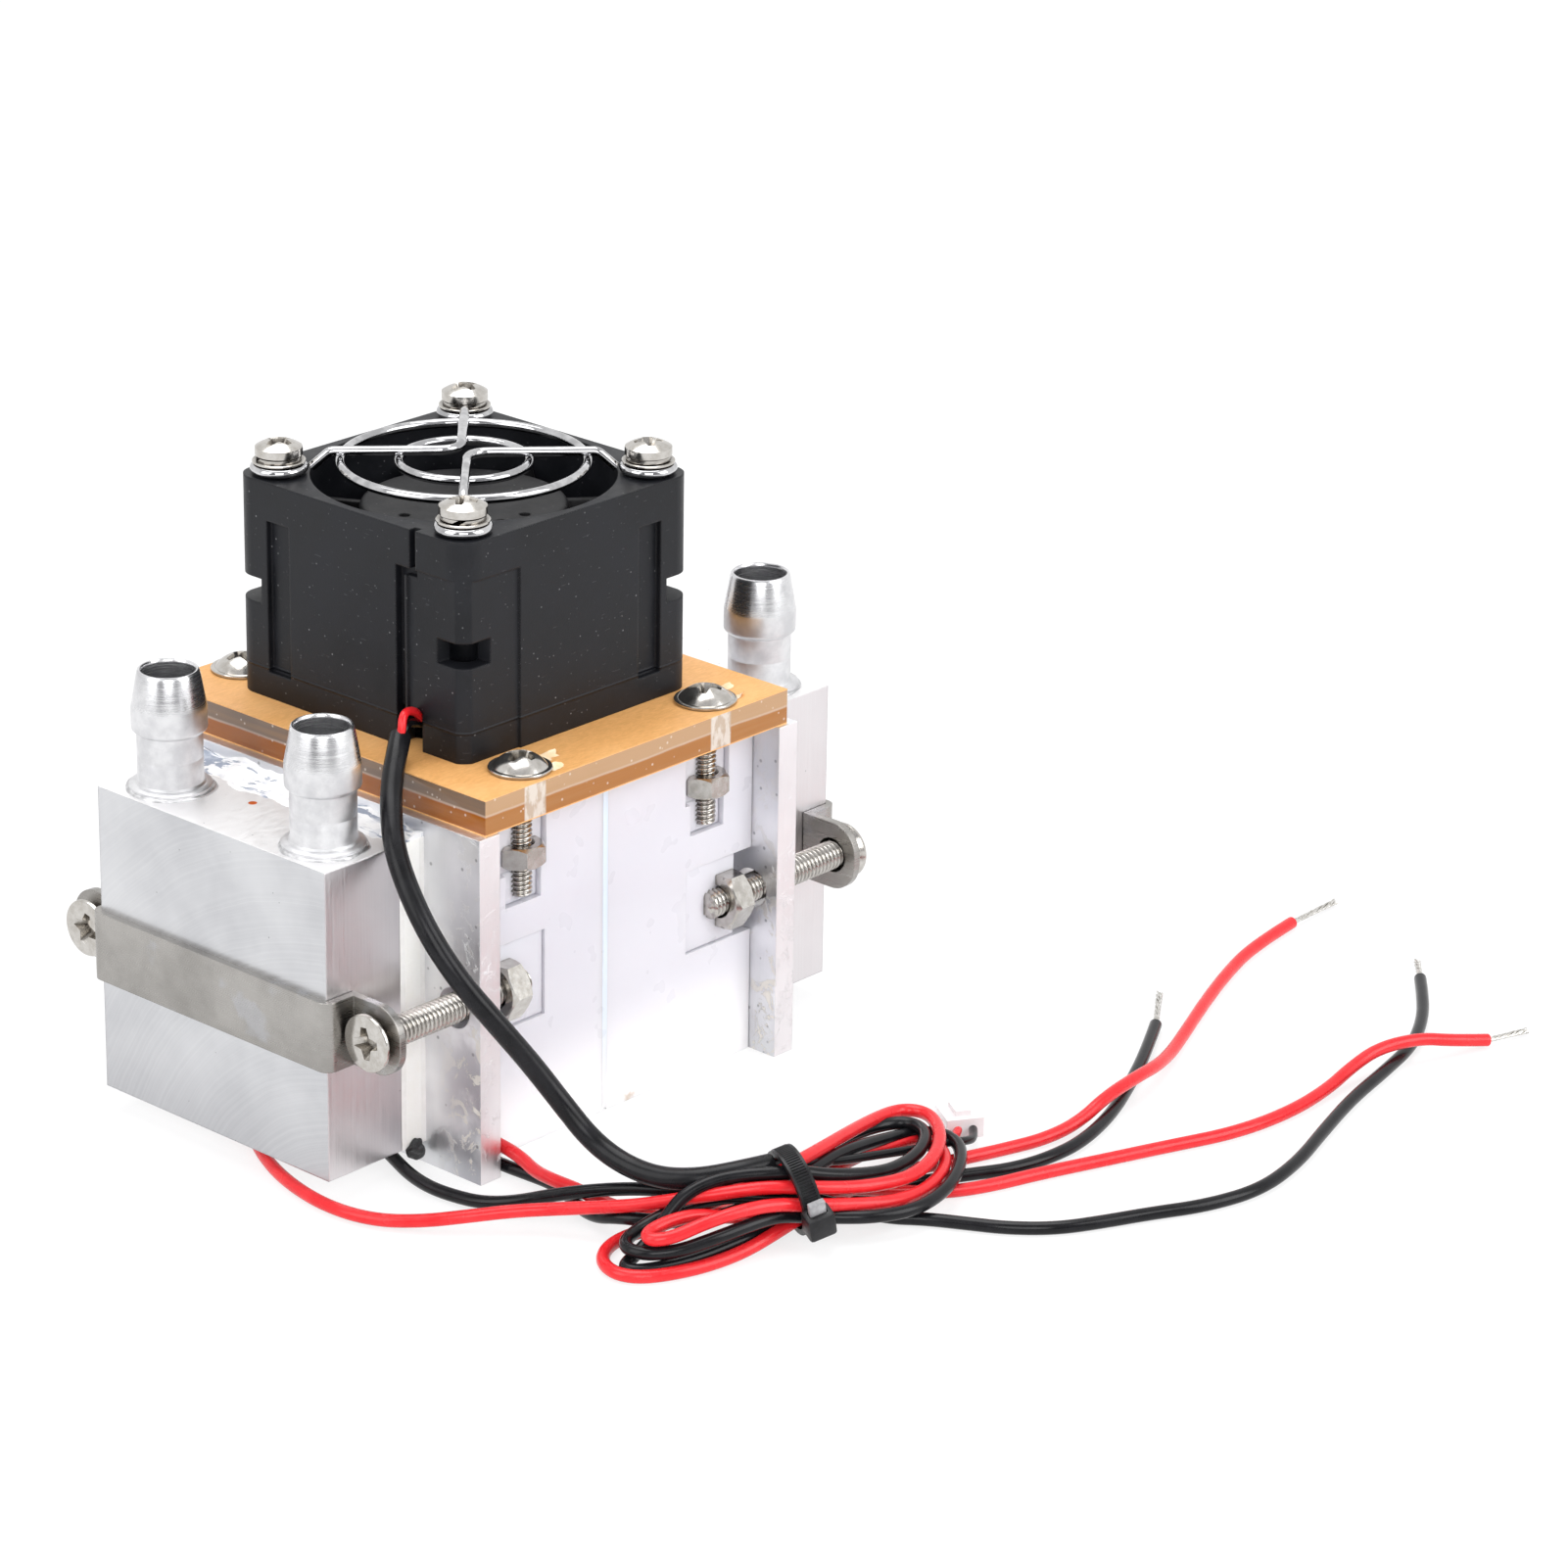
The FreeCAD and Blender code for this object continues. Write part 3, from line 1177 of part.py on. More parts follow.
def make_leads():
    for name, points in LEAD_ROUTES.items():
        diameter = size("fan_lead_diameter") if name == "fan_lead" else size("lead_diameter")
        add_shape(name, bar_along(bent_path(points, report=name), diameter))
    for name, points in TAIL_ROUTES.items():
        add_shape(name, bar_along(bent_path(points, report=name), size("lead_diameter")))


def make_bare_ends():
    """The stripped and tinned strands, one straight bar beyond each tail."""
    bars = []
    for name, end in BARE_ENDS.items():
        start = FreeCAD.Vector(*TAIL_ROUTES[name][-1])
        path = Part.Wire(Part.LineSegment(start, FreeCAD.Vector(*end)).toShape())
        bars.append(bar_along(path, size("bare_diameter")))
    add_shape("bare_ends", Part.makeCompound(bars))


def make_thin_wires():
    bars = []
    for points in THIN_WIRES:
        path = bent_path(points, report="thin wire")
        bars.append(bar_along(path, size("thin_wire_diameter")))
    add_shape("fan_lead_wires", Part.makeCompound(bars))


def make_plug():
    """A small two-way housing with its wire ways and a latch rib on top."""
    length, width, height = size("plug_length"), size("plug_width"), size("plug_height")
    body = Part.makeBox(length, width, height, FreeCAD.Vector(0, -width / 2, 0))
    rib = Part.makeBox(length * 0.6, width * 0.4, height * 0.25, FreeCAD.Vector(length * 0.2, -width * 0.2, height))
    shape = body.fuse(rib).removeSplitter()
    for sign in (-1, 1):
        corner = FreeCAD.Vector(length - 3, sign * width / 4 - 0.9, height / 2 - 0.9)
        shape = shape.cut(Part.makeBox(4, 1.8, 1.8, corner))
    feature = add_shape("lead_plug", shape)
    near, far = FreeCAD.Vector(*THIN_WIRES[0][-1]), FreeCAD.Vector(*THIN_WIRES[1][-1])
    middle = (near + far) / 2
    place(feature, str(middle.x), str(middle.y), "0", PLUG_TURN)


def make_hank():
    """The closed outer form of the folded leads, lofted through flattened ovals that stand on the ground."""
    sections = []
    for (x, y), half_width, height, heading in HANK_SECTIONS:
        along = FreeCAD.Vector(math.cos(math.radians(heading)), math.sin(math.radians(heading)), 0)
        across = FreeCAD.Vector(-along.y, along.x, 0)
        centre = FreeCAD.Vector(x, y, height / 2)
        oval = Part.Ellipse(centre + across * half_width, centre + FreeCAD.Vector(0, 0, height / 2), centre)
        sections.append(Part.Wire(oval.toShape()))
    add_shape("lead_hank", Part.makeLoft(sections, True, False))


def make_cable_tie():
    """A strap round the hank's waist with its square locking head."""
    inner, thickness, width = size("tie_inner") / 2, size("tie_thickness"), size("tie_width")
    ring = Part.makeCylinder(inner + thickness, width, FreeCAD.Vector(0, 0, -width / 2))
    ring = ring.cut(Part.makeCylinder(inner, width + 2, FreeCAD.Vector(0, 0, -width / 2 - 1)))
    head_side = width * 1.5
    head = Part.makeBox(head_side, head_side, head_side * 0.9,
                        FreeCAD.Vector(inner + thickness * 0.5, -head_side / 2, -head_side * 0.45))
    head = head.cut(Part.makeCylinder(inner + thickness * 0.4, head_side * 2, FreeCAD.Vector(0, 0, -head_side)))
    shape = ring.fuse(head).removeSplitter()
    feature = add_shape("cable_tie", shape)
    along = FreeCAD.Rotation(FreeCAD.Vector(0, 1, 0), 90 + TIE_LEAN)
    heading = FreeCAD.Rotation(FreeCAD.Vector(0, 0, 1), TIE_TURN)
    spin = FreeCAD.Rotation(FreeCAD.Vector(0, 0, 1), TIE_SPIN)
    feature.Placement = FreeCAD.Placement(FreeCAD.Vector(*TIE_PLACE), heading * along * spin)


def make_all():
    for side in TURNED:
        make_heat_sink(side)
        make_ceramics(side)
        make_edge_seal(side)
        make_pellets(side)
        make_water_block(side)
        make_clamp_strap(side)
    for label, (sign_x, sign_y) in CORNERS.items():
        make_hose_barb(label, sign_x, sign_y)
        make_clamp_screw(label, sign_x, sign_y)
        make_plate_screw(label, sign_x, sign_y)
        make_fan_screw(label, sign_x, sign_y)
    make_clamp_nuts()
    make_plate_nuts()
    make_plate()
    for face in ("front", "back"):
        for half in ("left", "right"):
            make_side_piece(face, half)
    make_fan_frame()
    make_motor_board()
    make_stator()
    make_bearings()
    make_shaft()
    make_magnet_ring()
    make_impeller()
    make_guard()
    make_guard_washers()
    make_leads()
    make_bare_ends()
    make_thin_wires()
    make_plug()
    make_hank()
    make_cable_tie()


def check_document():
    for thing in doc.Objects:
        if "Invalid" in thing.State or "Error" in thing.State:
            raise RuntimeError("%s has state %s" % (thing.Name, thing.State))
    for thing in doc.Objects:
        if thing.TypeId == "PartDesign::Pocket":
            before = thing.BaseFeature.Shape.Volume
            if before - thing.Shape.Volume < 1e-3:
                raise RuntimeError("%s cuts nothing" % thing.Name)
    for piece in nodes:
        if piece.Shape.isNull() or not piece.Shape.isValid():
            raise RuntimeError("%s has no valid shape" % piece.Label)


def write_parts():
    os.makedirs("parts", exist_ok=True)
    for piece in nodes:
        piece.Shape.exportStep("parts/%s.step" % piece.Label)


make_all()
doc.recompute()
check_document()
write_parts()
print("%d pieces" % len(nodes))
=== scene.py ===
from math import cos, pi, radians, sin, sqrt, tau

import bmesh
import bpy
from mathutils import Matrix, Vector, noise


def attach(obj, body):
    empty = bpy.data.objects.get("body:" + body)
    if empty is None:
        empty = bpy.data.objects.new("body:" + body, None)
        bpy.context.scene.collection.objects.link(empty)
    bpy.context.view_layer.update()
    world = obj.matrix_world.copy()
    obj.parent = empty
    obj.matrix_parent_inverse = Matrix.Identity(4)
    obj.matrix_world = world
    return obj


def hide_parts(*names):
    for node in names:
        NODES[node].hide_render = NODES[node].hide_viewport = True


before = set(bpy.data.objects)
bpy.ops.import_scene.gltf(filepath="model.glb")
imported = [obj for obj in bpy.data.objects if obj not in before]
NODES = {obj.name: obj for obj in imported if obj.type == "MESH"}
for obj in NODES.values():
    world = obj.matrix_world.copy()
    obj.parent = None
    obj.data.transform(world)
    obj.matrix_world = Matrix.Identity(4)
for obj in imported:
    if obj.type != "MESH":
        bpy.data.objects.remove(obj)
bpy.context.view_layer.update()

MM = 0.001
SCENE = bpy.context.scene
SCENE.view_settings.view_transform = "Standard"

# Places shared with the solids, in millimetres
BLOCK_TOP = 43.0
EAR_OUTER = 41.0
PLATE_TOP = 49.6
FAN = (-0.85, 0.43)
FAN_HOLE = 16.0
FAN_TOP = PLATE_TOP + 28.0
BARB_X, BARB_Y = 38.3, 13.5
CLAMP_Y, CLAMP_Z = 25.0, 22.2
PLATE_SCREW_X, PLATE_SCREW_Y = 16.3, 24.5
CORNERS = {"front_left": (-1, -1), "front_right": (1, -1), "back_right": (1, 1), "back_left": (-1, 1)}


def mm(*numbers):
    return Vector(numbers) * MM


# ---------------- node-based materials


class Finish:
    """One material and the nodes that feed its shader, with places in millimetres."""

    def __init__(self, name, **sockets):
        self.material = bpy.data.materials.new(name)
        self.material.use_nodes = True
        self.tree = self.material.node_tree
        self.shader = self.tree.nodes["Principled BSDF"]
        for key, number in sockets.items():
            self.set(key.replace("_", " "), number)
        self.coordinates = self.add("TexCoord", {}).outputs
        self.normal = {}

    def add(self, kind, inputs, **settings):
        """A new node with its settings made and its inputs, named or numbered, given or linked."""
        node = self.tree.nodes.new("ShaderNode" + kind)
        for key, setting in settings.items():
            setattr(node, key, setting)
        for key, given in dict(inputs).items():
            self.plug(node.inputs[key], given)
        return node

    def plug(self, socket, given):
        if isinstance(given, bpy.types.NodeSocket):
            self.tree.links.new(given, socket)
        elif isinstance(given, tuple) and socket.type == "RGBA":
            socket.default_value = (*given, 1.0)
        else:
            socket.default_value = given

    def set(self, name, given):
        self.plug(self.shader.inputs[name], given)

    def place(self, scale=(1, 1, 1), turn=(0, 0, 0)):
        """Object places in millimetres, turned and scaled."""
        return self.add("Mapping", {"Vector": self.coordinates["Object"], "Rotation": turn,
                                    "Scale": [number / MM for number in scale]}).outputs[0]

    def split(self, vector=None):
        """A vector's three numbers, or those of the place when none is given."""
        return self.add("SeparateXYZ", {0: vector or self.place()}).outputs

    def noise(self, scale, detail, rough=0.5, where=None, distort=0.0):
        return self.add("TexNoise", {"Vector": where or self.place(), "Scale": scale, "Detail": detail,
                                     "Roughness": rough, "Distortion": distort}).outputs["Fac"]

    def cloud(self, scale):
        return self.noise(scale, 4, 0.6)

    def grain(self, scale, detail, rough):
        """Noise drawn out along the axes whose scale is small."""
        return self.noise(1.0, detail, rough, self.place(scale))

    def spots(self, scale, rim, core):
        """1 in round spots, one to a cell, and 0 between them."""
        cells = self.add("TexVoronoi", {"Vector": self.place(), "Scale": scale})
        return self.band(cells.outputs["Distance"], rim, core)

    def sum(self, kind, *given):
        return self.add("Math", enumerate(given), operation=kind).outputs[0]

    def times(self, first, second):
        return self.sum("MULTIPLY", first, second)

    def band(self, given, low, high, bottom=0.0, top=1.0):
        return self.add("MapRange", enumerate((given, low, high, bottom, top)),
                        interpolation_type="SMOOTHSTEP").outputs[0]

    def mix(self, factor, first, second):
        return self.add("Mix", {0: factor, 6: first, 7: second}, data_type="RGBA").outputs[2]

    def facing(self):
        """How far the surface faces each axis, 0 to 1."""
        return [self.sum("ABSOLUTE", axis) for axis in self.split(self.coordinates["Normal"])]

    def rings(self, centre, axes):
        """Distance in millimetres from a point, across the two axes named."""
        parts = self.split()
        gaps = [self.sum("SUBTRACT", parts[axis], middle) for axis, middle in zip(axes, centre)]
        return self.sum("SQRT", self.sum("ADD", *[self.times(gap, gap) for gap in gaps]))

    def hollows(self, reach):
        """1 in recesses and thread roots narrower than so many millimetres, 0 in the open: an
        ambient-occlusion mask for painted shade.
        """
        shade = self.add("AmbientOcclusion", {"Distance": reach * MM}, samples=6)
        return self.band(shade.outputs["AO"], 0.85, 0.35)

    def bend(self, node):
        self.normal = {"Normal": node.outputs["Normal"]}
        self.set("Normal", node.outputs["Normal"])

    def worn_edges(self, radius):
        """Edges that catch the light as if rounded by so many millimetres."""
        self.bend(self.add("Bevel", {"Radius": radius * MM}, samples=5))

    def bump(self, height, depth):
        """Relief on top of what is there, its depth in millimetres."""
        inputs = {"Height": height, "Distance": depth * MM, "Strength": 1.0, **self.normal}
        self.bend(self.add("Bump", inputs))

    def two_tone(self, field, low, high, start=0.3, end=0.7):
        """A colour that runs from one tone to another as the field does from start to end."""
        self.colour = self.mix(self.band(field, start, end), low, high)
        self.set("Base Color", self.colour)

    def tint(self, mask, colour, share=None):
        """A colour over what is there, where the mask is, up to a share."""
        self.colour = self.mix(mask if share is None else self.times(mask, share), self.colour, colour)
        self.set("Base Color", self.colour)

    def gloss(self, field, low, high, start=0.3, end=0.7, more=None):
        """Roughness that runs from low to high as the field does from start to end, and more on top."""
        rough = self.band(field, start, end, low, high)
        self.set("Roughness", rough if more is None else self.sum("ADD", rough, more))


def milled_block():
    """Sawn and face-milled aluminium: arcs on the broad faces, fine straight lines on the others, with
    painted light on the Y-facing sides and the top and painted shade at the foot of the X-facing faces.
    """
    f = Finish("milled_aluminium", Metallic=1.0)
    f.worn_edges(0.3)
    face_x, face_y, face_z = f.facing()
    arcs = f.sum("ADD", f.times(f.rings((-26.0, -14.0), (1, 2)), 1.5), f.times(f.noise(0.11, 2), 1.6))
    arc_lines = f.noise(1.5, 4, 0.62, f.add("CombineXYZ", {0: arcs}).outputs[0])
    upright, level = f.grain((3.2, 3.2, 0.05), 4, 0.65), f.grain((0.5, 3.4, 3.4), 4, 0.65)
    lines = f.mix(face_x, f.mix(face_z, upright, level), arc_lines)
    # Mask for painted shade on the X-facing faces, growing towards the floor below 18 mm.
    foot = f.times(f.band(f.split()[2], 18.0, 2.0), face_x)
    orange_dot = f.band(f.rings((-35.0, 2.5), (0, 1)), 0.62, 0.48)
    f.two_tone(f.noise(0.045, 4, 0.55), (0.52, 0.525, 0.545), (0.66, 0.665, 0.68), 0.32, 0.68)
    # Painted light: the Y-facing sides lighter and slightly pink, the top faces lighter.
    f.tint(face_y, (0.86, 0.79, 0.80), 0.5)
    f.tint(face_z, (0.84, 0.83, 0.83), 0.8)
    # Painted shade at the foot of the X-facing faces.
    f.tint(foot, (0.40, 0.40, 0.42), 0.55)
    f.tint(f.band(lines, 0.40, 0.66), (0.86, 0.86, 0.87), 0.16)
    f.tint(f.spots(0.34, 0.045, 0.02), (0.20, 0.20, 0.21), 0.7)
    f.tint(orange_dot, (0.62, 0.13, 0.02), face_z)
    f.gloss(lines, 0.27, 0.42, 0.25, 0.75, f.times(face_z, 0.22))
    f.bump(lines, 0.035)
    f.bump(f.noise(5.0, 2), 0.006)
    return f


def turned_barb():
    f = Finish("turned_aluminium", Metallic=1.0)
    f.two_tone(f.cloud(0.35), (0.62, 0.62, 0.635), (0.78, 0.78, 0.79))
    low_down = f.band(f.split()[2], 54.5, 52.5, 0.0, 0.16)
    f.gloss(f.grain((0.15, 0.15, 7.5), 3, 0.7), 0.20, 0.30, more=low_down)
    f.bump(f.grain((0.02, 0.02, 1.1), 2, 0.5), 0.002)
    return f


def weld_aluminium():
    f = Finish("weld_aluminium", Metallic=1.0)
    cloud = f.cloud(0.9)
    f.two_tone(cloud, (0.46, 0.46, 0.47), (0.70, 0.70, 0.71))
    f.gloss(cloud, 0.28, 0.46)
    f.bump(cloud, 0.04)
    return f


def extruded_sink():
    """Dull extruded aluminium with pitted, stained patches near its cut edges, and painted light on its
    Y-facing faces.
    """
    f = Finish("extruded_aluminium", Metallic=1.0)
    f.worn_edges(0.2)
    face_x, face_y, _ = f.facing()
    x, y, z = f.split()
    lines = f.grain((3.0, 3.0, 0.06), 4, 0.6)
    near_edge = f.band(f.sum("ABSOLUTE", y), 20.5, 28.5)
    low_down = f.band(z, 36.0, 8.0, 0.25, 1.0)
    stain = f.band(f.noise(0.30, 7, 0.72, distort=0.9), 0.545, 0.575)
    patch = f.times(stain, f.times(near_edge, low_down))
    on_face = f.times(patch, face_x)
    tarnish = f.times(f.band(f.noise(0.10, 4), 0.40, 0.56), f.times(near_edge, face_x))
    tarnish = f.times(tarnish, f.band(x, 0.0, -8.0, 0.15, 0.8))
    f.two_tone(f.noise(0.07, 3), (0.70, 0.705, 0.73), (0.94, 0.945, 0.96), 0.35, 0.68)
    f.tint(tarnish, (0.34, 0.335, 0.37), low_down)
    f.tint(on_face, (0.84, 0.81, 0.75), 0.85)
    f.tint(f.times(f.spots(0.50, 0.15, 0.07), face_x), (0.16, 0.16, 0.17), 0.55)
    # Painted light: the Y-facing faces lighter and slightly pink.
    f.tint(face_y, (0.86, 0.81, 0.825), 0.75)
    f.gloss(lines, 0.32, 0.46, 0.25, 0.75, f.times(on_face, 0.25))
    f.bump(lines, 0.03)
    f.bump(patch, 0.06)
    return f


def brushed_steel():
    f = Finish("brushed_steel", Metallic=1.0)
    f.worn_edges(0.2)
    lines = f.grain((0.30, 0.06, 7.5), 4, 0.6)
    f.two_tone(f.cloud(0.09), (0.30, 0.288, 0.272), (0.42, 0.405, 0.385))
    f.tint(f.band(f.noise(0.16, 3), 0.60, 0.68), (0.50, 0.52, 0.58), 0.30)
    f.gloss(lines, 0.22, 0.40, 0.25, 0.75)
    f.bump(lines, 0.012)
    return f


def nickel():
    f = Finish("nickel", Metallic=1.0)
    f.two_tone(f.cloud(0.8), (0.48, 0.455, 0.42), (0.60, 0.58, 0.55))
    # Painted shade: recesses, cross slots and thread roots darkened by ambient occlusion.
    f.tint(f.hollows(0.9), (0.10, 0.085, 0.07), 0.85)
    f.gloss(f.noise(1.5, 3), 0.16, 0.23)
    return f


def chrome():
    f = Finish("chrome", Metallic=1.0)
    f.two_tone(f.noise(0.5, 3), (0.42, 0.42, 0.43), (0.64, 0.64, 0.65), 0.35, 0.7)
    f.gloss(f.noise(1.1, 3), 0.04, 0.10, 0.35, 0.75)
    f.bump(f.noise(0.5, 2), 0.004)
    return f


def clear_acrylic():
    """Clear sheet whose cut edges are painted with the amber light of the films seen through them, in level
    bands, with painted shade on the X-facing edges and a painted view of each bore, with glints, near its
    holes.
    """
    f = Finish("clear_acrylic", Transmission_Weight=0.22, IOR=1.49)
    face_x, face_y, _ = f.facing()
    x, _, z = f.split()
    level = f.sum("ADD", z, f.times(f.noise(0.09, 3), 0.6))
    seam = f.times(f.band(level, 47.5, 47.75), f.band(level, 48.0, 47.75))
    # A painted view of the bore seen through the Y-facing edges, shifted 1.9 mm towards −x, with painted
    # glints.
    from_middle = f.sum("ABSOLUTE", f.sum("ADD", x, 1.9))
    from_hole = f.sum("ABSOLUTE", f.sum("SUBTRACT", from_middle, PLATE_SCREW_X))
    column = f.times(f.band(from_hole, 1.95, 1.6), face_y)
    glints = f.band(f.grain((1.1, 0.2, 0.4), 3, 0.6), 0.42, 0.58)
    streaks, cuts = f.grain((0.05, 0.05, 1.1), 4, 0.6), f.grain((1.3, 1.3, 0.35), 3, 0.6)
    # Painted light and shade: the films' amber seen through the edges, in two level bands with a light line
    # between them, darker on the X-facing edges, which lie in shade.
    f.two_tone(level, f.mix(face_x, (0.44, 0.165, 0.028), (0.36, 0.105, 0.014)),
               f.mix(face_x, (0.56, 0.34, 0.18), (0.22, 0.15, 0.11)), 47.55, 47.95)
    f.tint(f.band(streaks, 0.4, 0.7, 0.0, 0.22), (0.50, 0.27, 0.11))
    f.tint(seam, (0.97, 0.90, 0.82), 0.3)
    f.tint(f.spots(0.75, 0.16, 0.07), (0.96, 0.86, 0.76), 0.55)
    # Painted view of the bores and their glints.
    f.tint(column, f.mix(glints, (0.60, 0.49, 0.39), (0.82, 0.76, 0.69)), 0.85)
    f.gloss(cuts, 0.05, 0.20, 0.35, 0.75)
    f.bump(streaks, 0.008)
    f.bump(cuts, 0.01)
    return f


def kraft_paper():
    f = Finish("kraft_film")
    fibre = f.noise(1.0, 5, 0.7, f.place((0.9, 3.2, 1.0), (0, 0, 0.35)))
    cloud = f.cloud(0.10)
    f.two_tone(fibre, (0.70, 0.345, 0.105), (0.86, 0.455, 0.165), 0.3, 0.75)
    f.tint(f.band(cloud, 0.35, 0.75, 0.0, 0.35), (0.90, 0.54, 0.24))
    f.tint(f.spots(0.8, 0.10, 0.05), (0.42, 0.19, 0.055), 0.35)
    f.gloss(cloud, 0.42, 0.62)
    f.bump(fibre, 0.02)
    f.bump(f.noise(0.25, 3), 0.05)
    return f


def milky_plastic(name, low, high):
    """Milky sheet painted lighter towards the foot, where the floor lights it, with brownish patches along
    its bottom edge.
    """
    f = Finish(name, Subsurface_Weight=0.3, Subsurface_Scale=0.003, Subsurface_Radius=(1.0, 0.95, 1.0),
               Coat_Weight=0.3, Coat_Roughness=0.10)
    height = f.split()[2]
    # Brownish patches in the lowest 2.4 mm.
    brown_foot_patches = f.times(f.band(f.noise(0.16, 4), 0.60, 0.68), f.band(height, 2.4, 0.4))
    f.two_tone(f.noise(0.02, 2), low, high)
    # Painted light: lighter towards the bottom, where the floor lights it.
    f.tint(f.band(height, 16.0, 1.0, 0.0, 0.95), (0.99, 0.985, 1.0))
    f.tint(brown_foot_patches, (0.55, 0.40, 0.28), 0.7)
    f.gloss(f.noise(0.2, 2), 0.27, 0.33)
    return f


def fan_plastic(name, base):
    """Black moulded plastic with dust, fine scratches and the line of the case's skirt."""
    f = Finish(name, Specular_IOR_Level=0.26)
    f.worn_edges(0.4)
    height, cloud = f.split()[2], f.cloud(0.13)
    f.bump(f.times(f.band(height, 53.2, 53.45), f.band(height, 53.7, 53.45)), 0.10)
    scratch = f.band(f.noise(1.0, 2, 0.5, f.place((0.55, 0.55, 2.6), (0.7, 0.35, 0.1))), 0.70, 0.73)
    dust = f.times(f.spots(0.9, 0.13, 0.04), f.band(f.noise(0.22, 3), 0.45, 0.65, 0.2, 1.0))
    f.two_tone(cloud, base, tuple(1.8 * number for number in base), 0.3, 0.75)
    f.tint(scratch, (0.10, 0.10, 0.11), 0.16)
    f.tint(dust, (0.26, 0.26, 0.27), 0.75)
    f.gloss(cloud, 0.36, 0.52)
    f.bump(f.noise(4.0, 3, 0.7), 0.014)
    f.bump(scratch, 0.01)
    return f


def wire_skin(name, low, high, rough, specular):
    """Extruded insulation with a soft gloss and slight handling marks."""
    f = Finish(name, Specular_IOR_Level=specular)
    f.two_tone(f.cloud(0.35), low, high)
    f.gloss(f.noise(0.25, 3), rough - 0.04, rough + 0.06)
    f.bump(f.noise(0.25, 2), 0.01)
    return f


def tinned():
    f = Finish("tinned_copper", Metallic=1.0)
    cloud = f.cloud(2.2)
    f.two_tone(cloud, (0.50, 0.48, 0.44), (0.74, 0.73, 0.71))
    f.gloss(cloud, 0.24, 0.42)
    f.bump(f.noise(4.5, 3), 0.03)
    return f


def plain(name, low, high, rough, scale=0.5, depth=0.01, **sockets):
    """A two-tone finish with a fine grain, for moulded, cast and pressed pieces."""
    f = Finish(name, **sockets)
    f.two_tone(f.cloud(scale), low, high)
    f.gloss(f.noise(1.6, 3), rough - 0.06, rough + 0.08)
    f.bump(f.noise(3.2, 3), depth)
    return f


def smeared_sealant():
    """White sealant with slate-blue thermal paste dragged through it along the joint."""
    f = Finish("smeared_sealant", Roughness=0.42)
    paste = f.noise(1.0, 4, 0.6, f.place((0.55, 0.16, 0.6)), 0.8)
    f.two_tone(paste, (0.92, 0.92, 0.93), (0.30, 0.34, 0.43), 0.52, 0.57)
    f.tint(f.band(f.noise(0.5, 4), 0.55, 0.66), (0.62, 0.64, 0.70), 0.5)
    f.bump(paste, 0.06)
    return f


def laminated():
    """A stack of thin sheets, seen as level lines."""
    f = Finish("laminations", Metallic=1.0, Roughness=0.45)
    lines = f.grain((0.05, 0.05, 4.0), 2, 0.5)
    f.two_tone(lines, (0.16, 0.16, 0.17), (0.42, 0.42, 0.44), 0.4, 0.6)
    f.bump(lines, 0.08)
    return f


def wound_copper():
    """Enamelled turns laid side by side."""
    f = Finish("wound_copper", Metallic=1.0, Roughness=0.32)
    waves = f.add("TexWave", {"Vector": f.place(), "Scale": 1.4, "Distortion": 0.4},
                  bands_direction="DIAGONAL")
    f.set("Base Color", f.mix(waves.outputs["Fac"], (0.30, 0.09, 0.03), (0.72, 0.29, 0.11)))
    f.bump(waves.outputs["Fac"], 0.12)
    return f


SKIN = {
    "block": milled_block(),
    "barb": turned_barb(),
    "weld": weld_aluminium(),
    "sink": extruded_sink(),
    "strap": brushed_steel(),
    "screw": nickel(),
    "chrome": chrome(),
    "acrylic": clear_acrylic(),
    "paper": kraft_paper(),
    "side": milky_plastic("milky_plastic", (0.63, 0.625, 0.68), (0.68, 0.675, 0.725)),
    "glue": milky_plastic("seam_glue", (0.68, 0.79, 0.97), (0.78, 0.87, 0.99)),
    "smear": smeared_sealant(),
    "blob": plain("black_sealant", (0.008, 0.008, 0.009), (0.02, 0.02, 0.021), 0.35, depth=0.1),
    "fan": fan_plastic("fan_plastic", (0.0056, 0.0061, 0.0080)),
    "blade": fan_plastic("fan_blade_plastic", (0.009, 0.009, 0.010)),
    "red": wire_skin("red_insulation", (0.66, 0.012, 0.018), (0.74, 0.022, 0.028), 0.24, 0.36),
    "black": wire_skin("black_insulation", (0.004, 0.004, 0.005), (0.009, 0.009, 0.011), 0.20, 0.24),
    "sleeve": wire_skin("shrink_sleeve", (0.004, 0.004, 0.005), (0.010, 0.010, 0.012), 0.27, 0.22),
    "tie_cut": plain("cut_nylon", (0.22, 0.22, 0.23), (0.42, 0.42, 0.43), 0.5),
    "scrap": plain("torn_paper", (0.86, 0.62, 0.36), (0.95, 0.80, 0.58), 0.7, depth=0.03),
    "tie": plain("tie_nylon", (0.006, 0.006, 0.007), (0.016, 0.016, 0.018), 0.36, depth=0.02,
                 Specular_IOR_Level=0.3),
    "tinned": tinned(),
    "plug": plain("plug_nylon", (0.93, 0.88, 0.89), (0.98, 0.95, 0.96), 0.34, Transmission_Weight=0.3),
    "ceramic": plain("alumina", (0.88, 0.87, 0.84), (0.95, 0.94, 0.92), 0.55),
    "seal": plain("white_sealant", (0.96, 0.95, 0.91), (0.99, 0.985, 0.96), 0.6, 0.3, 0.08),
    "pellet": plain("pellet_metal", (0.20, 0.20, 0.22), (0.36, 0.36, 0.38), 0.4, Metallic=1.0),
    "ferrite": plain("ferrite", (0.035, 0.034, 0.034), (0.07, 0.068, 0.066), 0.5),
    "board": plain("green_board", (0.015, 0.10, 0.035), (0.03, 0.16, 0.06), 0.35),
    "bearing": plain("bearing_steel", (0.55, 0.55, 0.56), (0.70, 0.70, 0.71), 0.18, Metallic=1.0),
    "laminated": laminated(),
    "copper": wound_copper(),
}

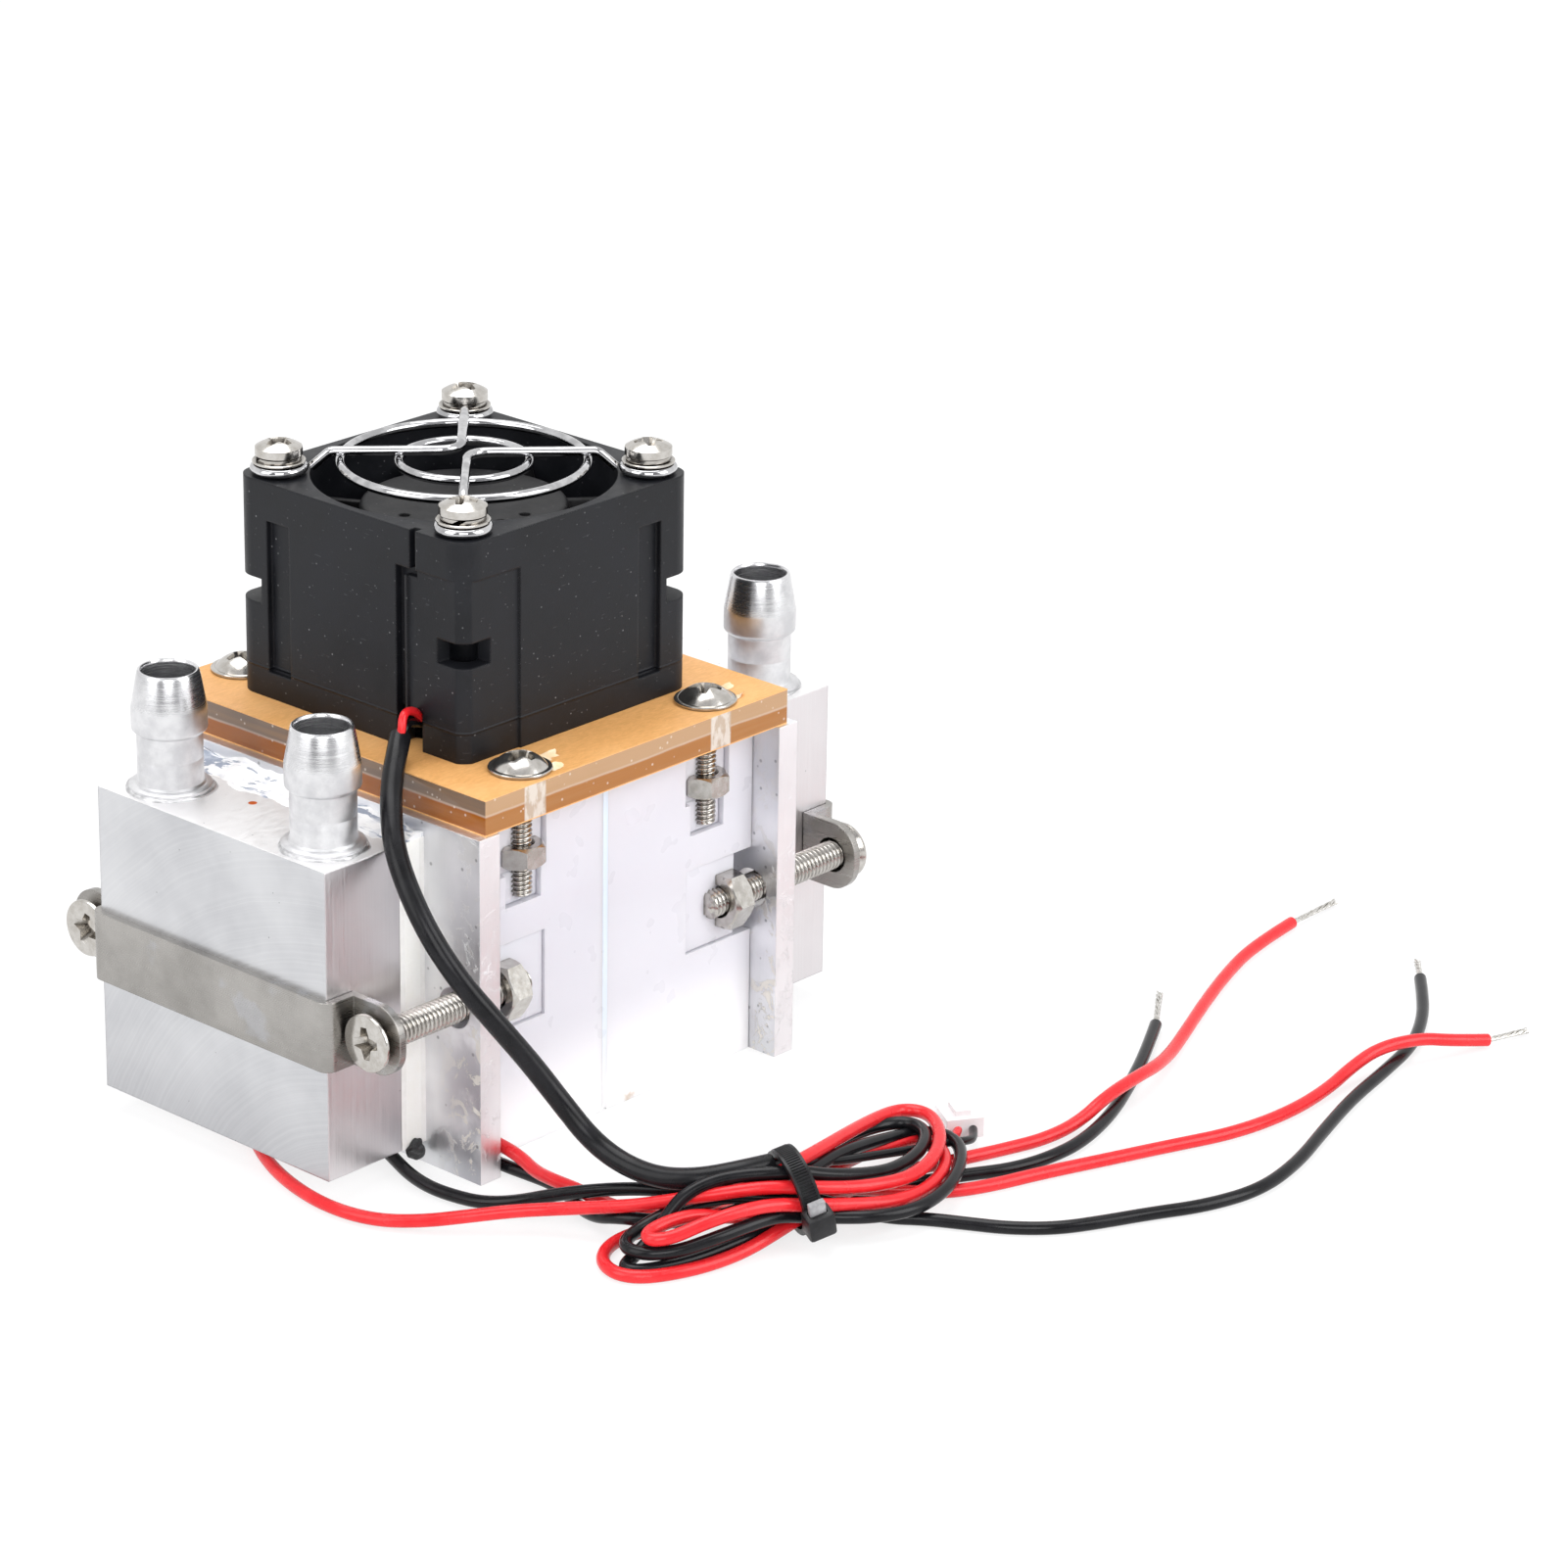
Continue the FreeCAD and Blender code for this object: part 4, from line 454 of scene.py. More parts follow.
# The skin of every solid whose name starts so. Where two starts fit, the longer one counts
NODE_SKINS = {
    "water_block": "block", "hose_barb": "barb", "heat_sink": "sink", "clamp_strap": "strap",
    "clamp_screw": "screw", "plate_screw": "screw", "fan_screw": "screw", "clamp_nuts": "screw",
    "plate_nuts": "screw", "guard_washers": "screw", "fan_guard": "chrome", "clear_plate": "acrylic",
    "paper_films": "paper", "side_piece": "side", "fan_frame": "fan", "impeller": "blade",
    "lead_red": "red", "tail_red": "red", "lead_black": "black", "tail_black": "black",
    "lead_hank": "black", "fan_lead_wires": "black", "fan_lead": "sleeve", "lead_plug": "plug",
    "cable_tie": "tie", "bare_ends": "tinned", "module_ceramics": "ceramic", "module_seal": "seal",
    "module_pellets": "pellet", "magnet_ring": "ferrite", "motor_board": "board", "bearings": "bearing",
    "rotor_shaft": "bearing", "stator_core": "laminated", "stator_winding": "copper",
}

for name, thing in NODES.items():
    start = max(filter(name.startswith, NODE_SKINS), key=len)
    thing.data.materials.clear()
    thing.data.materials.append(SKIN[NODE_SKINS[start]].material)


# ---------------- wires


def put(name, data):
    thing = bpy.data.objects.new(name, data)
    SCENE.collection.objects.link(thing)
    return thing


def add_piece(name, data, skin, slot, replaces=()):
    thing = put(name, data)
    data.materials.append(SKIN[skin].material)
    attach(thing, "module")
    if replaces:
        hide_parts(*replaces)
    return thing


def new_curve(name, diameter, round_steps):
    """An empty curve for round wires so many millimetres across."""
    curve = bpy.data.curves.new(name, "CURVE")
    curve.dimensions = "3D"
    curve.bevel_depth = diameter / 2 * MM
    curve.bevel_resolution = round_steps
    curve.use_fill_caps = True
    return curve


def add_spline(curve, places, detail):
    """A smooth line through control points in metres, from the first to the last."""
    spline = curve.splines.new("NURBS")
    spline.points.add(len(places) - 1)
    for point, place in zip(spline.points, places):
        point.co = (*place, 1.0)
    spline.order_u = 3
    spline.use_endpoint_u = True
    spline.resolution_u = detail


def add_wires(name, lines, diameter, skin, slot, replaces=(), detail=12, round_steps=6):
    """Round wires, each on its own spline through given control points in millimetres."""
    curve = new_curve(name, diameter, round_steps)
    curve.resolution_u = detail
    for line in lines:
        add_spline(curve, [mm(*place) for place in line], detail)
    return add_piece(name, curve, skin, slot, replaces)


LEAD_ACROSS, SLEEVE_ACROSS, THIN_ACROSS, LOOP_ACROSS, STRAND_ACROSS = 1.65, 2.7, 1.1, 1.05, 0.27
LYING = 0.85


def route(text):
    """Places in millimetres along a wire, from a table. Where only x and y are given it lies on the floor."""
    rows = [tuple(map(float, row.split())) for row in text.split(",")]
    return [(row + (LYING,))[:3] for row in rows]


# The four module leads, each one spline from its module through the hank to its stripped end
WIRES = {
    "red_left": route("""-30.4 15 1.8, -33 9 1.4, -37.6 1.4 1, -42.4 -6.5 0.9, -45.2 -14.3 0.9,
        -46.2 -22 0.9, -45 -28.5 1, -41.9 -33.5 1.5, -38.3 -37.6 2.3, -34.6 -41.2 2.9, -31.2 -44.8 3.2,
        -28.6 -49.2 4, -26.2 -53.4 4.8, -23.6 -57.4 6, -20.4 -61.3 7, -16.6 -64.6 7.6, -12.1 -67.6 7.1,
        -9.2 -68.4 6.3, -5.7 -69.6 5.5, -1.4 -71 5, 2.9 -71.5 4.7, 7.8 -70.4 4.7, 12.7 -67.6 4.7,
        16.4 -63.9 4.7, 17.7 -60.6 4.8, 15.9 -58 4.8, 10.6 -58.5 5.4, 3.7 -60.4 6.5, -4 -62.6 7.6,
        -10.3 -64 8.3, -13.8 -61.8 6.8, -17 -58.9 4.6, -20.6 -56.4 2.5, -23.8 -54 1.2, -27.4 -52.6, -31 -53.2,
        -33.9 -55.2, -35.1 -58.3, -34.1 -61.1, -31 -63.2, -26 -65, -20.4 -65.8 1, -15.6 -66.2 1.8,
        -11.6 -66.3 2.4, -6 -66 2.2, 0 -65.2 2.3, 5 -64.9 1.8, 9.4 -65.2 1.1, 13.4 -66.2, 17.4 -67.6,
        22.6 -69.4, 28.6 -71.2, 34.4 -71.8 1.4, 39.8 -71.6 3, 47.4 -70.6 3, 53.4 -69 2, 59.6 -66.4 1,
        66.4 -63.4, 74.6 -59.8, 84 -56, 94.4 -52.6, 104.9 -51.3"""),
    "black_left": route("""-30.6 -14 1.8, -31.9 -18.2 1.3, -33.2 -22.4 0.9, -33.9 -26.6, -33.6 -30.6 0.9,
        -33 -34.6 1.2, -31.4 -38.6 2.1, -28.2 -42.2 3.2, -25.2 -46.2 4.1, -22.8 -50.2 4.8, -20.8 -54.2 5.2,
        -18.4 -58 5.5, -14.4 -60.6 5.2, -9.6 -62.2 4.9, -5 -61.5 5.6, 0.6 -60 5.6, 6.2 -59 4.9, 11 -58.7 4.4,
        14.3 -60.2 4.4, 14.5 -63.2 4.5, 11.6 -66.2 4.6, 7 -68.2 4.6, 1.6 -69 5, -3.8 -68.4 6.1,
        -8.2 -67.3 7.3, -11.4 -66.1 8.4, -14.2 -64.6 8.7, -17 -62.4 8.7, -20.2 -60.3 8.4, -23.4 -58.8 7.2,
        -25.8 -58.3 5.2, -28 -58.1 3, -30.8 -57.8 1.5, -33.4 -58.2 1, -33.4 -60 1, -30.6 -61.6 1,
        -25.6 -63.3 1.2, -20.4 -64.2 1.6, -15.4 -64.6 1.7, -10.7 -64.5 1.6, -5.6 -64.2 1.1, -0.2 -65,
        5.2 -66.8, 10.2 -68.8, 14.6 -71.2, 19.2 -73.8, 24.6 -75, 31.2 -75, 40.2 -72.4, 49.6 -68, 57.8 -63.7,
        65.3 -59.3"""),
    "red_right": route("""-23.3 -24.4 3.6, -23.2 -28 3.4, -23.3 -31.4 2.9, -24.2 -34.8 2.4, -25 -38.6 2.8,
        -24.8 -42.8 2.8, -23.6 -46.4 1.7, -21.6 -50 1, -19.2 -53.6 1.3, -16.4 -57.4 2, -13.4 -60.6 2.7,
        -9.9 -62.8 3, -5.4 -63 3.8, -0.4 -62 3.7, 5 -60.6 2.8, 10 -59.8 2.2, 13.8 -60.4 2.2, 15.2 -63.2 2.6,
        14.2 -66.6 2.9, 11.4 -69.7 2.9, 7.2 -71.9 2.9, 2.2 -73 3, -3 -72.7 3.6, -7.6 -70.8 4.3,
        -12.4 -68.4 5.1, -16.6 -67 6.2, -21 -65.7 6.5, -25.6 -64 5.9, -29.4 -62.6 4.9, -31.6 -61 4.7,
        -30.8 -59.4 4.8, -27.6 -59.6 5.2, -24.2 -60.8 5.4, -20.2 -62.4 4.2, -15.6 -63.7 3.2, -10.6 -64.6 3.6,
        -5.4 -66.6 4.2, -0.4 -68.2 3, 4.4 -70.2 1.6, 8.8 -72.6 0.9, 14 -75, 20.4 -77, 28.3 -80, 37.4 -83.4,
        46.4 -87, 56 -88.2, 64.6 -87.6 1, 70.4 -87 2, 75.6 -87.4 3.1, 81.6 -89.4 3.1, 86.2 -91.3 1.9,
        91.2 -93.3 1"""),
    "black_right": route("""-23.3 -24.4 0.9, -23.3 -28.4, -23 -32.4, -22.8 -36.4, -23.9 -40.4, -25.6 -44 0.9,
        -26.7 -47.6 1.5, -26.9 -51.2 2.8, -25.4 -54.6 3, -22.6 -57.4 2.7, -19 -60.2 3, -14.8 -62.6 4.5,
        -10.6 -64.2 6.1, -6.2 -63.8 6.3, -0.4 -62.6 5.9, 6 -61.8 4.8, 11.4 -61.4 3.7, 15.4 -61.6 3.1,
        17.5 -63.9 2.9, 16.7 -67.2 2.9, 13.6 -70.2 2.9, 9.4 -72.9 2.9, 4.4 -74.9 2.9, -1.2 -75.4 2.9,
        -6.2 -73.5 3.1, -9.6 -70.4 3.2, -12.2 -67.8 3.4, -16 -66.8 4.4, -20.4 -66.2 4.5, -25 -65 4,
        -29 -63.2 3.2, -31.8 -60.8 2.9, -32.6 -58.2 2.9, -31 -56.2 2.9, -27.6 -55.6 3.2, -24.2 -56.6 4.2,
        -20.8 -58.8 5.4, -17.4 -61.6 5.8, -14 -64.6 5.3, -11.4 -66.1 5.3, -8.4 -67.8 4, -5 -69.6 2.2,
        -1.6 -72 0.9, 1.2 -75.2, 3.6 -79.4, 6.2 -84, 10.2 -88.2, 15.4 -91, 21 -93.6, 27.6 -97.2, 35.6 -99.2,
        44.8 -97.8, 54.6 -94.5, 64.5 -91.4, 74 -89.4, 83.2 -87.2, 90.6 -83.4, 96.6 -79.2, 101.6 -75.1"""),
}
# Each lead's length and the tip of its bare strands
LEAD_ENDS = {
    "red_left": (343.6, (116.2, -50.7, 0.6)),
    "black_left": (246.9, (74.6, -52.6, 0.6)),
    "red_right": (255.3, (98.6, -94.9, 0.6)),
    "black_right": (296.2, (107.0, -70.6, 0.6)),
}
SLEEVE = route("""-24.4 -12.3 52.7, -26.2 -13.6 51.6, -28.8 -15.4 49.4, -31.6 -18 47.2, -34.4 -21.4 43.8,
    -35.8 -25.2 39.8, -36.2 -29.4 35, -34.8 -33.2 29.8, -31.8 -36 24.6, -28.4 -38.2 19.2, -25.8 -40.8 14,
    -24.6 -44.4 10, -24 -49 8.1, -23 -54 7.5, -20.8 -58.2 8, -17.4 -61 8.6, -12.6 -62.6 8.6""")
# The fan's wires from the end of their sleeve to the plug
THIN = {
    "black": route("""-8 -63 7.4, -2 -63.4 5.6, 5 -63.8 4.2, 12.4 -65 3, 16.2 -65.8 2.8, 19.6 -66 1.9,
        22 -65.2 1.2, 23.9 -63.4 1.2"""),
    "red": route("""-8 -62 7.2, -2 -61.6 5.2, 5 -61.8 3.8, 12.4 -62.4 3, 15.8 -63 2.8, 18.4 -63.6 1.9,
        20.6 -63.4 1.2, 22.4 -62.2 1.2"""),
}
# The fan's two wires, bent out of the frame's opening and into the end of the sleeve
LOOPS = {
    "red": route("""-19.6 -11 53.4, -21 -11.5 54.9, -23.4 -12.2 55.6, -24.3 -12.6 55, -24.7 -12.9 54,
        -24.9 -12.9 53, -25.6 -13.3 52"""),
    "black": route("""-19.2 -10.4 52.4, -21.2 -11.4 53.4, -22.8 -12 53.9, -23.6 -12.4 53.6, -24.1 -12.4 52.9,
        -25.2 -13.1 51.9"""),
}


def strands(start, end, count=7, steps=14):
    """Lines of tinned strands, twisted together and fanning out a little at the tip."""
    start, end = Vector(start), Vector(end)
    along = (end - start).normalized()
    across = along.cross(Vector((0, 0, 1))).normalized()
    upward = across.cross(along)
    length = (end - start).length
    lines = []
    for number in range(count):
        line = []
        for step in range(steps + 1):
            share = step / steps
            reach = 0.0 if number == 0 else STRAND_ACROSS + 0.10 * share ** 3
            angle = radians(60 * number + 500 * share)
            side = across * cos(angle) + upward * sin(angle) * 0.8
            stop = length * (1 - 0.03 * (number % 3))
            line.append(start + along * (stop * share - 0.6) + side * reach)
        lines.append(line)
    return lines


for name, points in WIRES.items():
    colour = name.split("_")[0]
    length, tip = LEAD_ENDS[name]
    solids = ["lead_" + name, "tail_" + name]
    if name == "red_left":
        solids.append("lead_hank")
    wire = add_wires("wire_" + name, [points], LEAD_ACROSS, colour, "lead_" + colour, solids)
    bare = add_wires("bare_" + name, strands(points[-1], tip), STRAND_ACROSS, "tinned", "tinned_copper",
                     ["bare_ends"], 4, 2)

sleeve = add_wires("fan_sleeve", [SLEEVE], SLEEVE_ACROSS, "sleeve", "lead_black", ["fan_lead"])
for colour, rest in THIN.items():
    points = SLEEVE[-1:] + rest
    thin = add_wires("fan_wire_" + colour, [points], THIN_ACROSS, colour, "lead_" + colour,
                     ["fan_lead_wires"])


# ---------------- turned, threaded and cut pieces


def polar(radius, angle, height):
    return mm(radius * cos(angle), radius * sin(angle), height)


def soften(data, sharp):
    """Smooth shading that keeps the edges sharper than so many degrees hard."""
    data.shade_smooth()
    data.set_sharp_from_angle(angle=radians(sharp))
    return data


def mesh_from(bm, name):
    data = bpy.data.meshes.new(name)
    bm.to_mesh(data)
    bm.free()
    return data


def finish_mesh(bm, name, sharp=34):
    bmesh.ops.recalc_face_normals(bm, faces=bm.faces)
    return soften(mesh_from(bm, name), sharp)


def from_rings(name, rings, sharp=34, capped=False):
    """Faces between neighbouring rings of places, where a ring of one place is a point. They get caps at
    the ends, or else places that coincide become one."""
    bm = bmesh.new()
    rings = [[bm.verts.new(place) for place in ring] for ring in rings]
    for low, high in zip(rings, rings[1:]):
        count = max(len(low), len(high))
        for step in range(count):
            ahead = (step + 1) % count
            corners = dict.fromkeys((low[step % len(low)], low[ahead % len(low)],
                                     high[ahead % len(high)], high[step % len(high)]))
            if len(corners) > 2:
                bm.faces.new(corners)
    if capped:
        bm.faces.new(rings[0])
        bm.faces.new(rings[-1])
    else:
        bmesh.ops.remove_doubles(bm, verts=bm.verts, dist=1e-6)
    return finish_mesh(bm, name, sharp)


def spun(name, profile, turns=64, reach=lambda radius, height, angle: radius, sharp=34):
    """A surface of revolution about Z, through pairs of radius and height."""
    rings = []
    for radius, height in profile:
        angles = [tau * step / turns for step in range(turns if radius > 0 else 1)]
        rings.append([polar(reach(radius, height, angle) if radius > 0 else 0.0, angle, height)
                      for angle in angles])
    return from_rings(name, rings, sharp)


def threaded_rod(name, radius, low, high, pitch, turns=28):
    """A rod with a helical thread and a chamfered tip at its low end."""
    steps = int((high - low) / pitch * 7)
    heights = [low + (high - low) * step / steps for step in range(steps + 1)]
    profile = [(radius - max(0.0, 0.5 - (height - low)), height) for height in heights]

    def thread(reach, height, angle):
        phase = (height / pitch - angle / tau) % 1.0
        return reach - 0.6 * pitch * min(1.0, max(0.0, 1.3 * abs(2 * phase - 1) - 0.15))

    return spun(name, [(0, low)] + profile + [(0, high)], turns, thread, 100)


def joined(name, parts):
    """One mesh from several, each with its own place and its own hard edges."""
    bm = bmesh.new()
    for data, place in parts:
        copy = data.copy()
        copy.transform(place)
        bm.from_mesh(copy)
        bpy.data.meshes.remove(copy)
    return mesh_from(bm, name)


def add_joined(name, parts, *marks):
    return add_piece(name, joined(name, parts), *marks)


def carve(data, tool_data, mode="DIFFERENCE", sharp=34):
    """The first mesh with the second cut out of it, or cut down to it."""
    whole, tool = put("whole", data), put("tool", tool_data)
    cut = whole.modifiers.new("cut", "BOOLEAN")
    cut.operation, cut.object, cut.solver = mode, tool, "EXACT"
    bpy.context.view_layer.update()
    result = bpy.data.meshes.new_from_object(whole.evaluated_get(bpy.context.evaluated_depsgraph_get()))
    bpy.data.objects.remove(whole)
    bpy.data.objects.remove(tool)
    return soften(result, sharp)


def cross_cutter(top, depth, reach, width, middle):
    """The tapered cross that a driver's tip fills."""
    rings = []
    for height, share in ((top - depth, 0.55), (top, 1.0), (top + 0.5, 1.1)):
        corners = [mm(x * share, y * (0.5 + share / 2), height)
                   for x, y in ((reach, -width), (reach, width), (middle, middle))]
        rings.append([Matrix.Rotation(radians(90 * quarter), 3, "Z") @ corner
                      for quarter in range(4) for corner in corners])
    return from_rings("cross_cutter", rings, capped=True)


def dome(radius, height, lift, steps=9):
    """Profile of a shallow dome from its rim to its crown."""
    ball = (radius ** 2 + height ** 2) / (2 * height)
    reaches = [radius * (1 - step / steps) for step in range(steps + 1)]
    return [(reach, lift + height - ball + sqrt(ball ** 2 - reach ** 2)) for reach in reaches]


def screw(name, head_profile, recess, radius, length, pitch):
    """A headed screw with its underside at z = 0 and its tip down."""
    head = carve(spun(name + "_head", head_profile), cross_cutter(*recess))
    rod = threaded_rod(name + "_rod", radius, -length, 0.3, pitch)
    return joined(name, [(head, Matrix()), (rod, Matrix())])


def moved(x, y, z, *turns):
    """A move to a place after turns about the origin, the last named turn first."""
    place = Matrix.Translation(mm(x, y, z))
    for axis, angle in turns:
        place = place @ Matrix.Rotation(radians(angle), 4, axis)
    return place


def on_clamp(signs, x, turn):
    return moved(signs[0] * x, signs[1] * CLAMP_Y, CLAMP_Z, ("Y", 90 * signs[0]), ("Z", turn))


def on_plate(signs, z, turn):
    return moved(signs[0] * PLATE_SCREW_X, signs[1] * PLATE_SCREW_Y, z, ("Z", turn))


def on_fan(signs, lift, turn):
    return moved(FAN[0] + FAN_HOLE * signs[0], FAN[1] + FAN_HOLE * signs[1], FAN_TOP + lift, ("Z", turn))


# The head's profile, the cross's top, depth, reach, half width and inner corner, then radius, length, pitch
SCREWS = {
    "clamp": ([(0, -0.41), (1.9, -0.41), (3.56, 1.30), (3.65, 1.42), (3.65, 1.68), (3.58, 1.81),
               (3.42, 1.88), (2.2, 1.889), (0, 1.889)],
              (1.889, 1.4, 2.05, 0.46, 0.80), 1.9, EAR_OUTER - 16.2, 0.7),
    "plate": ([(0, 0), (3.86, 0), (3.95, 0.10), (3.95, 0.36), (3.86, 0.47), (3.46, 0.52),
               *dome(3.4, 1.7, 0.5)], (2.2, 1.5, 2.35, 0.45, 0.75), 1.45, 16.4, 0.62),
    "fan": ([(0, 0), (2.83, 0), (2.95, 0.12), (2.95, 0.92), *dome(2.93, 0.92, 1.08)],
            (2.0, 1.3, 2.05, 0.42, 0.70), 1.45, 4.0, 0.5),
}
SPINS = {"front_left": 8, "back_left": -14, "front_right": 34, "back_right": 61}


def add_screws():
    kinds = {kind: screw(kind + "_screw", *sizes) for kind, sizes in SCREWS.items()}
    for corner, signs in CORNERS.items():
        turn = SPINS[corner]
        places = {"clamp": on_clamp(signs, EAR_OUTER, turn), "plate": on_plate(signs, PLATE_TOP, turn),
                  "fan": on_fan(signs, 2.3, turn + 20)}
        for kind, place in places.items():
            name = "%s_screw_%s" % (kind, corner)
            add_joined("cross_head_" + name, [(kinds[kind], place)], "screw", "screw_nickel", [name])


def hex_nut(flats, height, bore):
    """A hexagonal nut with its corners turned off and its bore countersunk."""
    corner = flats / sqrt(3)
    prism = from_rings("prism", [[polar(corner, radians(60 * side), level) for side in range(6)]
                                 for level in (-0.1, height + 0.1)], capped=True)
    flat = 0.96 * flats / 2
    turned = spun("turned", [(0, 0), (flat, 0), (corner + 0.05, 0.5), (corner + 0.05, height - 0.5),
                             (flat, height), (0, height)])
    core = spun("core", [(0, -0.2), (bore + 0.45, -0.2), (bore, 0.3), (bore, height - 0.3),
                         (bore + 0.45, height + 0.2), (0, height + 0.2)])
    return carve(carve(prism, turned, "INTERSECT"), core, sharp=24)


def add_nuts():
    clamp, plate = hex_nut(7.0, 3.2, 1.96), hex_nut(5.5, 2.8, 1.51)
    nuts = {"clamp": [], "plate": []}
    for signs in CORNERS.values():
        nuts["clamp"].append((clamp, on_clamp(signs, 18.3, 30)))
        nuts["plate"].append((plate, on_plate(signs, 37.4, 0)))
    for kind, parts in nuts.items():
        add_joined(kind + "_hex_nuts", parts, "screw", "screw_nickel", [kind + "_nuts"])


def split_washer(inner, outer, low, high, gap=18, steps=40):
    """One turn of square wire with an open gap, its ends a little apart in height."""
    rings = []
    for step in range(steps + 1):
        share = step / steps
        angle, lift = gap / 2 + (360 - gap) * share, 0.12 * (share - 0.5)
        rings.append([polar(radius, radians(angle + slant), level + lift) for radius, level, slant in
                      ((inner, low, -8), (outer, low, -8), (outer, high, 8), (inner, high, 8))])
    return from_rings("split_washer", rings, capped=True)


def add_washers():
    flat = spun("flat_washer", [(1.6, 0), (3.2, 0), (3.3, 0.08), (3.3, 0.25), (3.2, 0.33), (1.6, 0.33),
                                (1.6, 0)])
    sprung = split_washer(1.6, 2.8, 0.40, 0.84)
    parts = []
    for number, signs in enumerate(CORNERS.values()):
        place = on_fan(signs, 1.4, 215 + 100 * number)
        parts += [(flat, place), (sprung, place)]
    add_joined("washer_stacks", parts, "screw", "screw_nickel", ["guard_washers"])


BARB = [(3.3, -2.0), (3.9, -2.0), (3.9, 0.02), (5.05, 0.02), (5.15, 0.14), (5.13, 0.6), (4.9, 0.78),
        (4.35, 0.86), (4.12, 1.1), (4.05, 1.6), (4.05, 4.1), (4.02, 4.2), (4.05, 4.3), (4.05, 7.0),
        (4.12, 7.4), (4.48, 7.72), (4.61, 7.86), (4.65, 8.1), (4.65, 10.4), (4.61, 10.85), (4.5, 11.4),
        (3.88, 14.9), (3.76, 15.26), (3.62, 15.39), (3.44, 15.36), (3.32, 15.2), (3.3, 14.9), (3.3, -2.0)]


def lumpy_ring(radius, thickness, seed, steps=84, sides=10):
    """A run of weld round a flange, uneven as one laid by hand."""
    rings = []
    tilts = [tau * side / sides for side in range(sides)]
    for step in range(steps + 1):
        angle = tau * (step % steps) / steps
        spot = Vector((cos(angle) * 3 + seed * 7.3, sin(angle) * 3, seed))
        size = thickness * (1 + 0.40 * noise.noise(spot * 0.9))
        far = radius + 0.22 * noise.noise(spot * 0.6)
        rings.append([polar(far + size * cos(tilt), angle, size * 0.8 * sin(tilt)) for tilt in tilts])
    return from_rings("weld_ring", rings, 80)


def add_barbs():
    barb = spun("barb", BARB, 80)
    welds = []
    for number, (corner, (sign_x, sign_y)) in enumerate(CORNERS.items()):
        place = Matrix.Translation(mm(BARB_X * sign_x, BARB_Y * sign_y, BLOCK_TOP))
        add_joined("turned_barb_" + corner, [(barb, place)], "barb", "barb_aluminium",
                   ["hose_barb_" + corner])
        welds.append((lumpy_ring(5.05, 0.45, number), place))
    add_joined("barb_welds", welds, "weld", "barb_aluminium")


def add_guard():
    """The guard's wires: two rings, an eye at each screw, and two bent cross wires that lie on the rings."""
    curve = new_curve("guard_wires", 1.2, 8)
    middle = mm(*FAN, FAN_TOP)
    eye, ring, cross = mm(0, 0, 0.7), mm(0, 0, 1.5), mm(0, 0, 2.7)
    circles = [(middle + ring, 15.15), (middle + ring, 8.0)]
    circles += [(middle + mm(FAN_HOLE * sign_x, FAN_HOLE * sign_y, 0) + eye, 3.0)
                for sign_x, sign_y in CORNERS.values()]
    quarter_arc_handle = 0.5523
    for centre, radius in circles:
        spline = curve.splines.new("BEZIER")
        spline.bezier_points.add(3)
        for number, point in enumerate(spline.bezier_points):
            out = polar(radius, pi / 2 * number, 0)
            side = Vector((-out.y, out.x, 0)) * quarter_arc_handle
            point.co = centre + out
            point.handle_left, point.handle_right = point.co - side, point.co + side
        spline.use_cyclic_u = True
        spline.resolution_u = 24
    for start, end in (("back_left", "back_right"), ("front_right", "front_left")):
        first, last = CORNERS[start], CORNERS[end]
        line = [middle + mm(*first, 0) * 13.2 + eye, middle + mm(*first, 0) * 11.6 + cross,
                middle + mm(0, 0.6 * last[1], 0) + cross,
                middle + mm(*last, 0) * 11.6 + cross, middle + mm(*last, 0) * 13.2 + eye]
        bends = [line[0]]
        for before, place, after, reach in zip(line, line[1:], line[2:], (1.1, 6.0, 1.1)):
            bends += [place + (before - place).normalized() * reach * MM, place,
                      place + (after - place).normalized() * reach * MM]
        add_spline(curve, bends + line[-1:], 10)
    add_piece("guard_wires", curve, "chrome", "guard_chrome", ["fan_guard"])


def rounded_box(low, high, width):
    bm = bmesh.new()
    bmesh.ops.create_cube(bm, size=1.0)
    for vert in bm.verts:
        share = [number + 0.5 for number in vert.co]
        vert.co = mm(*[a + (b - a) * part for a, b, part in zip(low, high, share)])
    bmesh.ops.bevel(bm, geom=bm.edges[:], offset=width * MM, segments=2, profile=0.5, affect="EDGES")
    return finish_mesh(bm, "rounded_box", 50)


def add_cable_tie(steps=360):
    """A ridged strap round the hank's waist, through its square head, with the cut end showing."""
    place = moved(-11.0, -65.2, 5.6, ("Z", -25), ("Y", 76), ("Z", -75))
    rings = []
    for step in range(steps + 1):
        tooth = 5.3 + (0.17 if step % 4 < 2 else 0.0)
        section = ((-1.2, 4.6), (-1.2, 5.4), (-0.85, 5.4), (-0.85, tooth), (0.85, tooth), (0.85, 5.4),
                   (1.2, 5.4), (1.2, 4.6))
        rings.append([polar(radius, tau * (step % steps) / steps, level) for level, radius in section])
    strap = from_rings("tie_strap", rings, 30)
    head = carve(rounded_box((5.0, -1.7, -1.8), (7.7, 1.7, 1.8), 0.45),
                 rounded_box((5.75, -2.2, -1.2), (6.85, 2.2, 1.2), 0.2))
    pawl = rounded_box((5.85, -1.0, -0.8), (6.7, 1.5, 0.8), 0.2)
    stub = rounded_box((5.9, -3.3, -1.05), (6.7, -0.9, 1.05), 0.14)
    add_joined("tie_strap", [(part, place) for part in (strap, head, pawl)], "tie", "tie_black",
               ["cable_tie"])
    add_joined("tie_stub", [(stub, place)], "tie_cut", "tie_black")


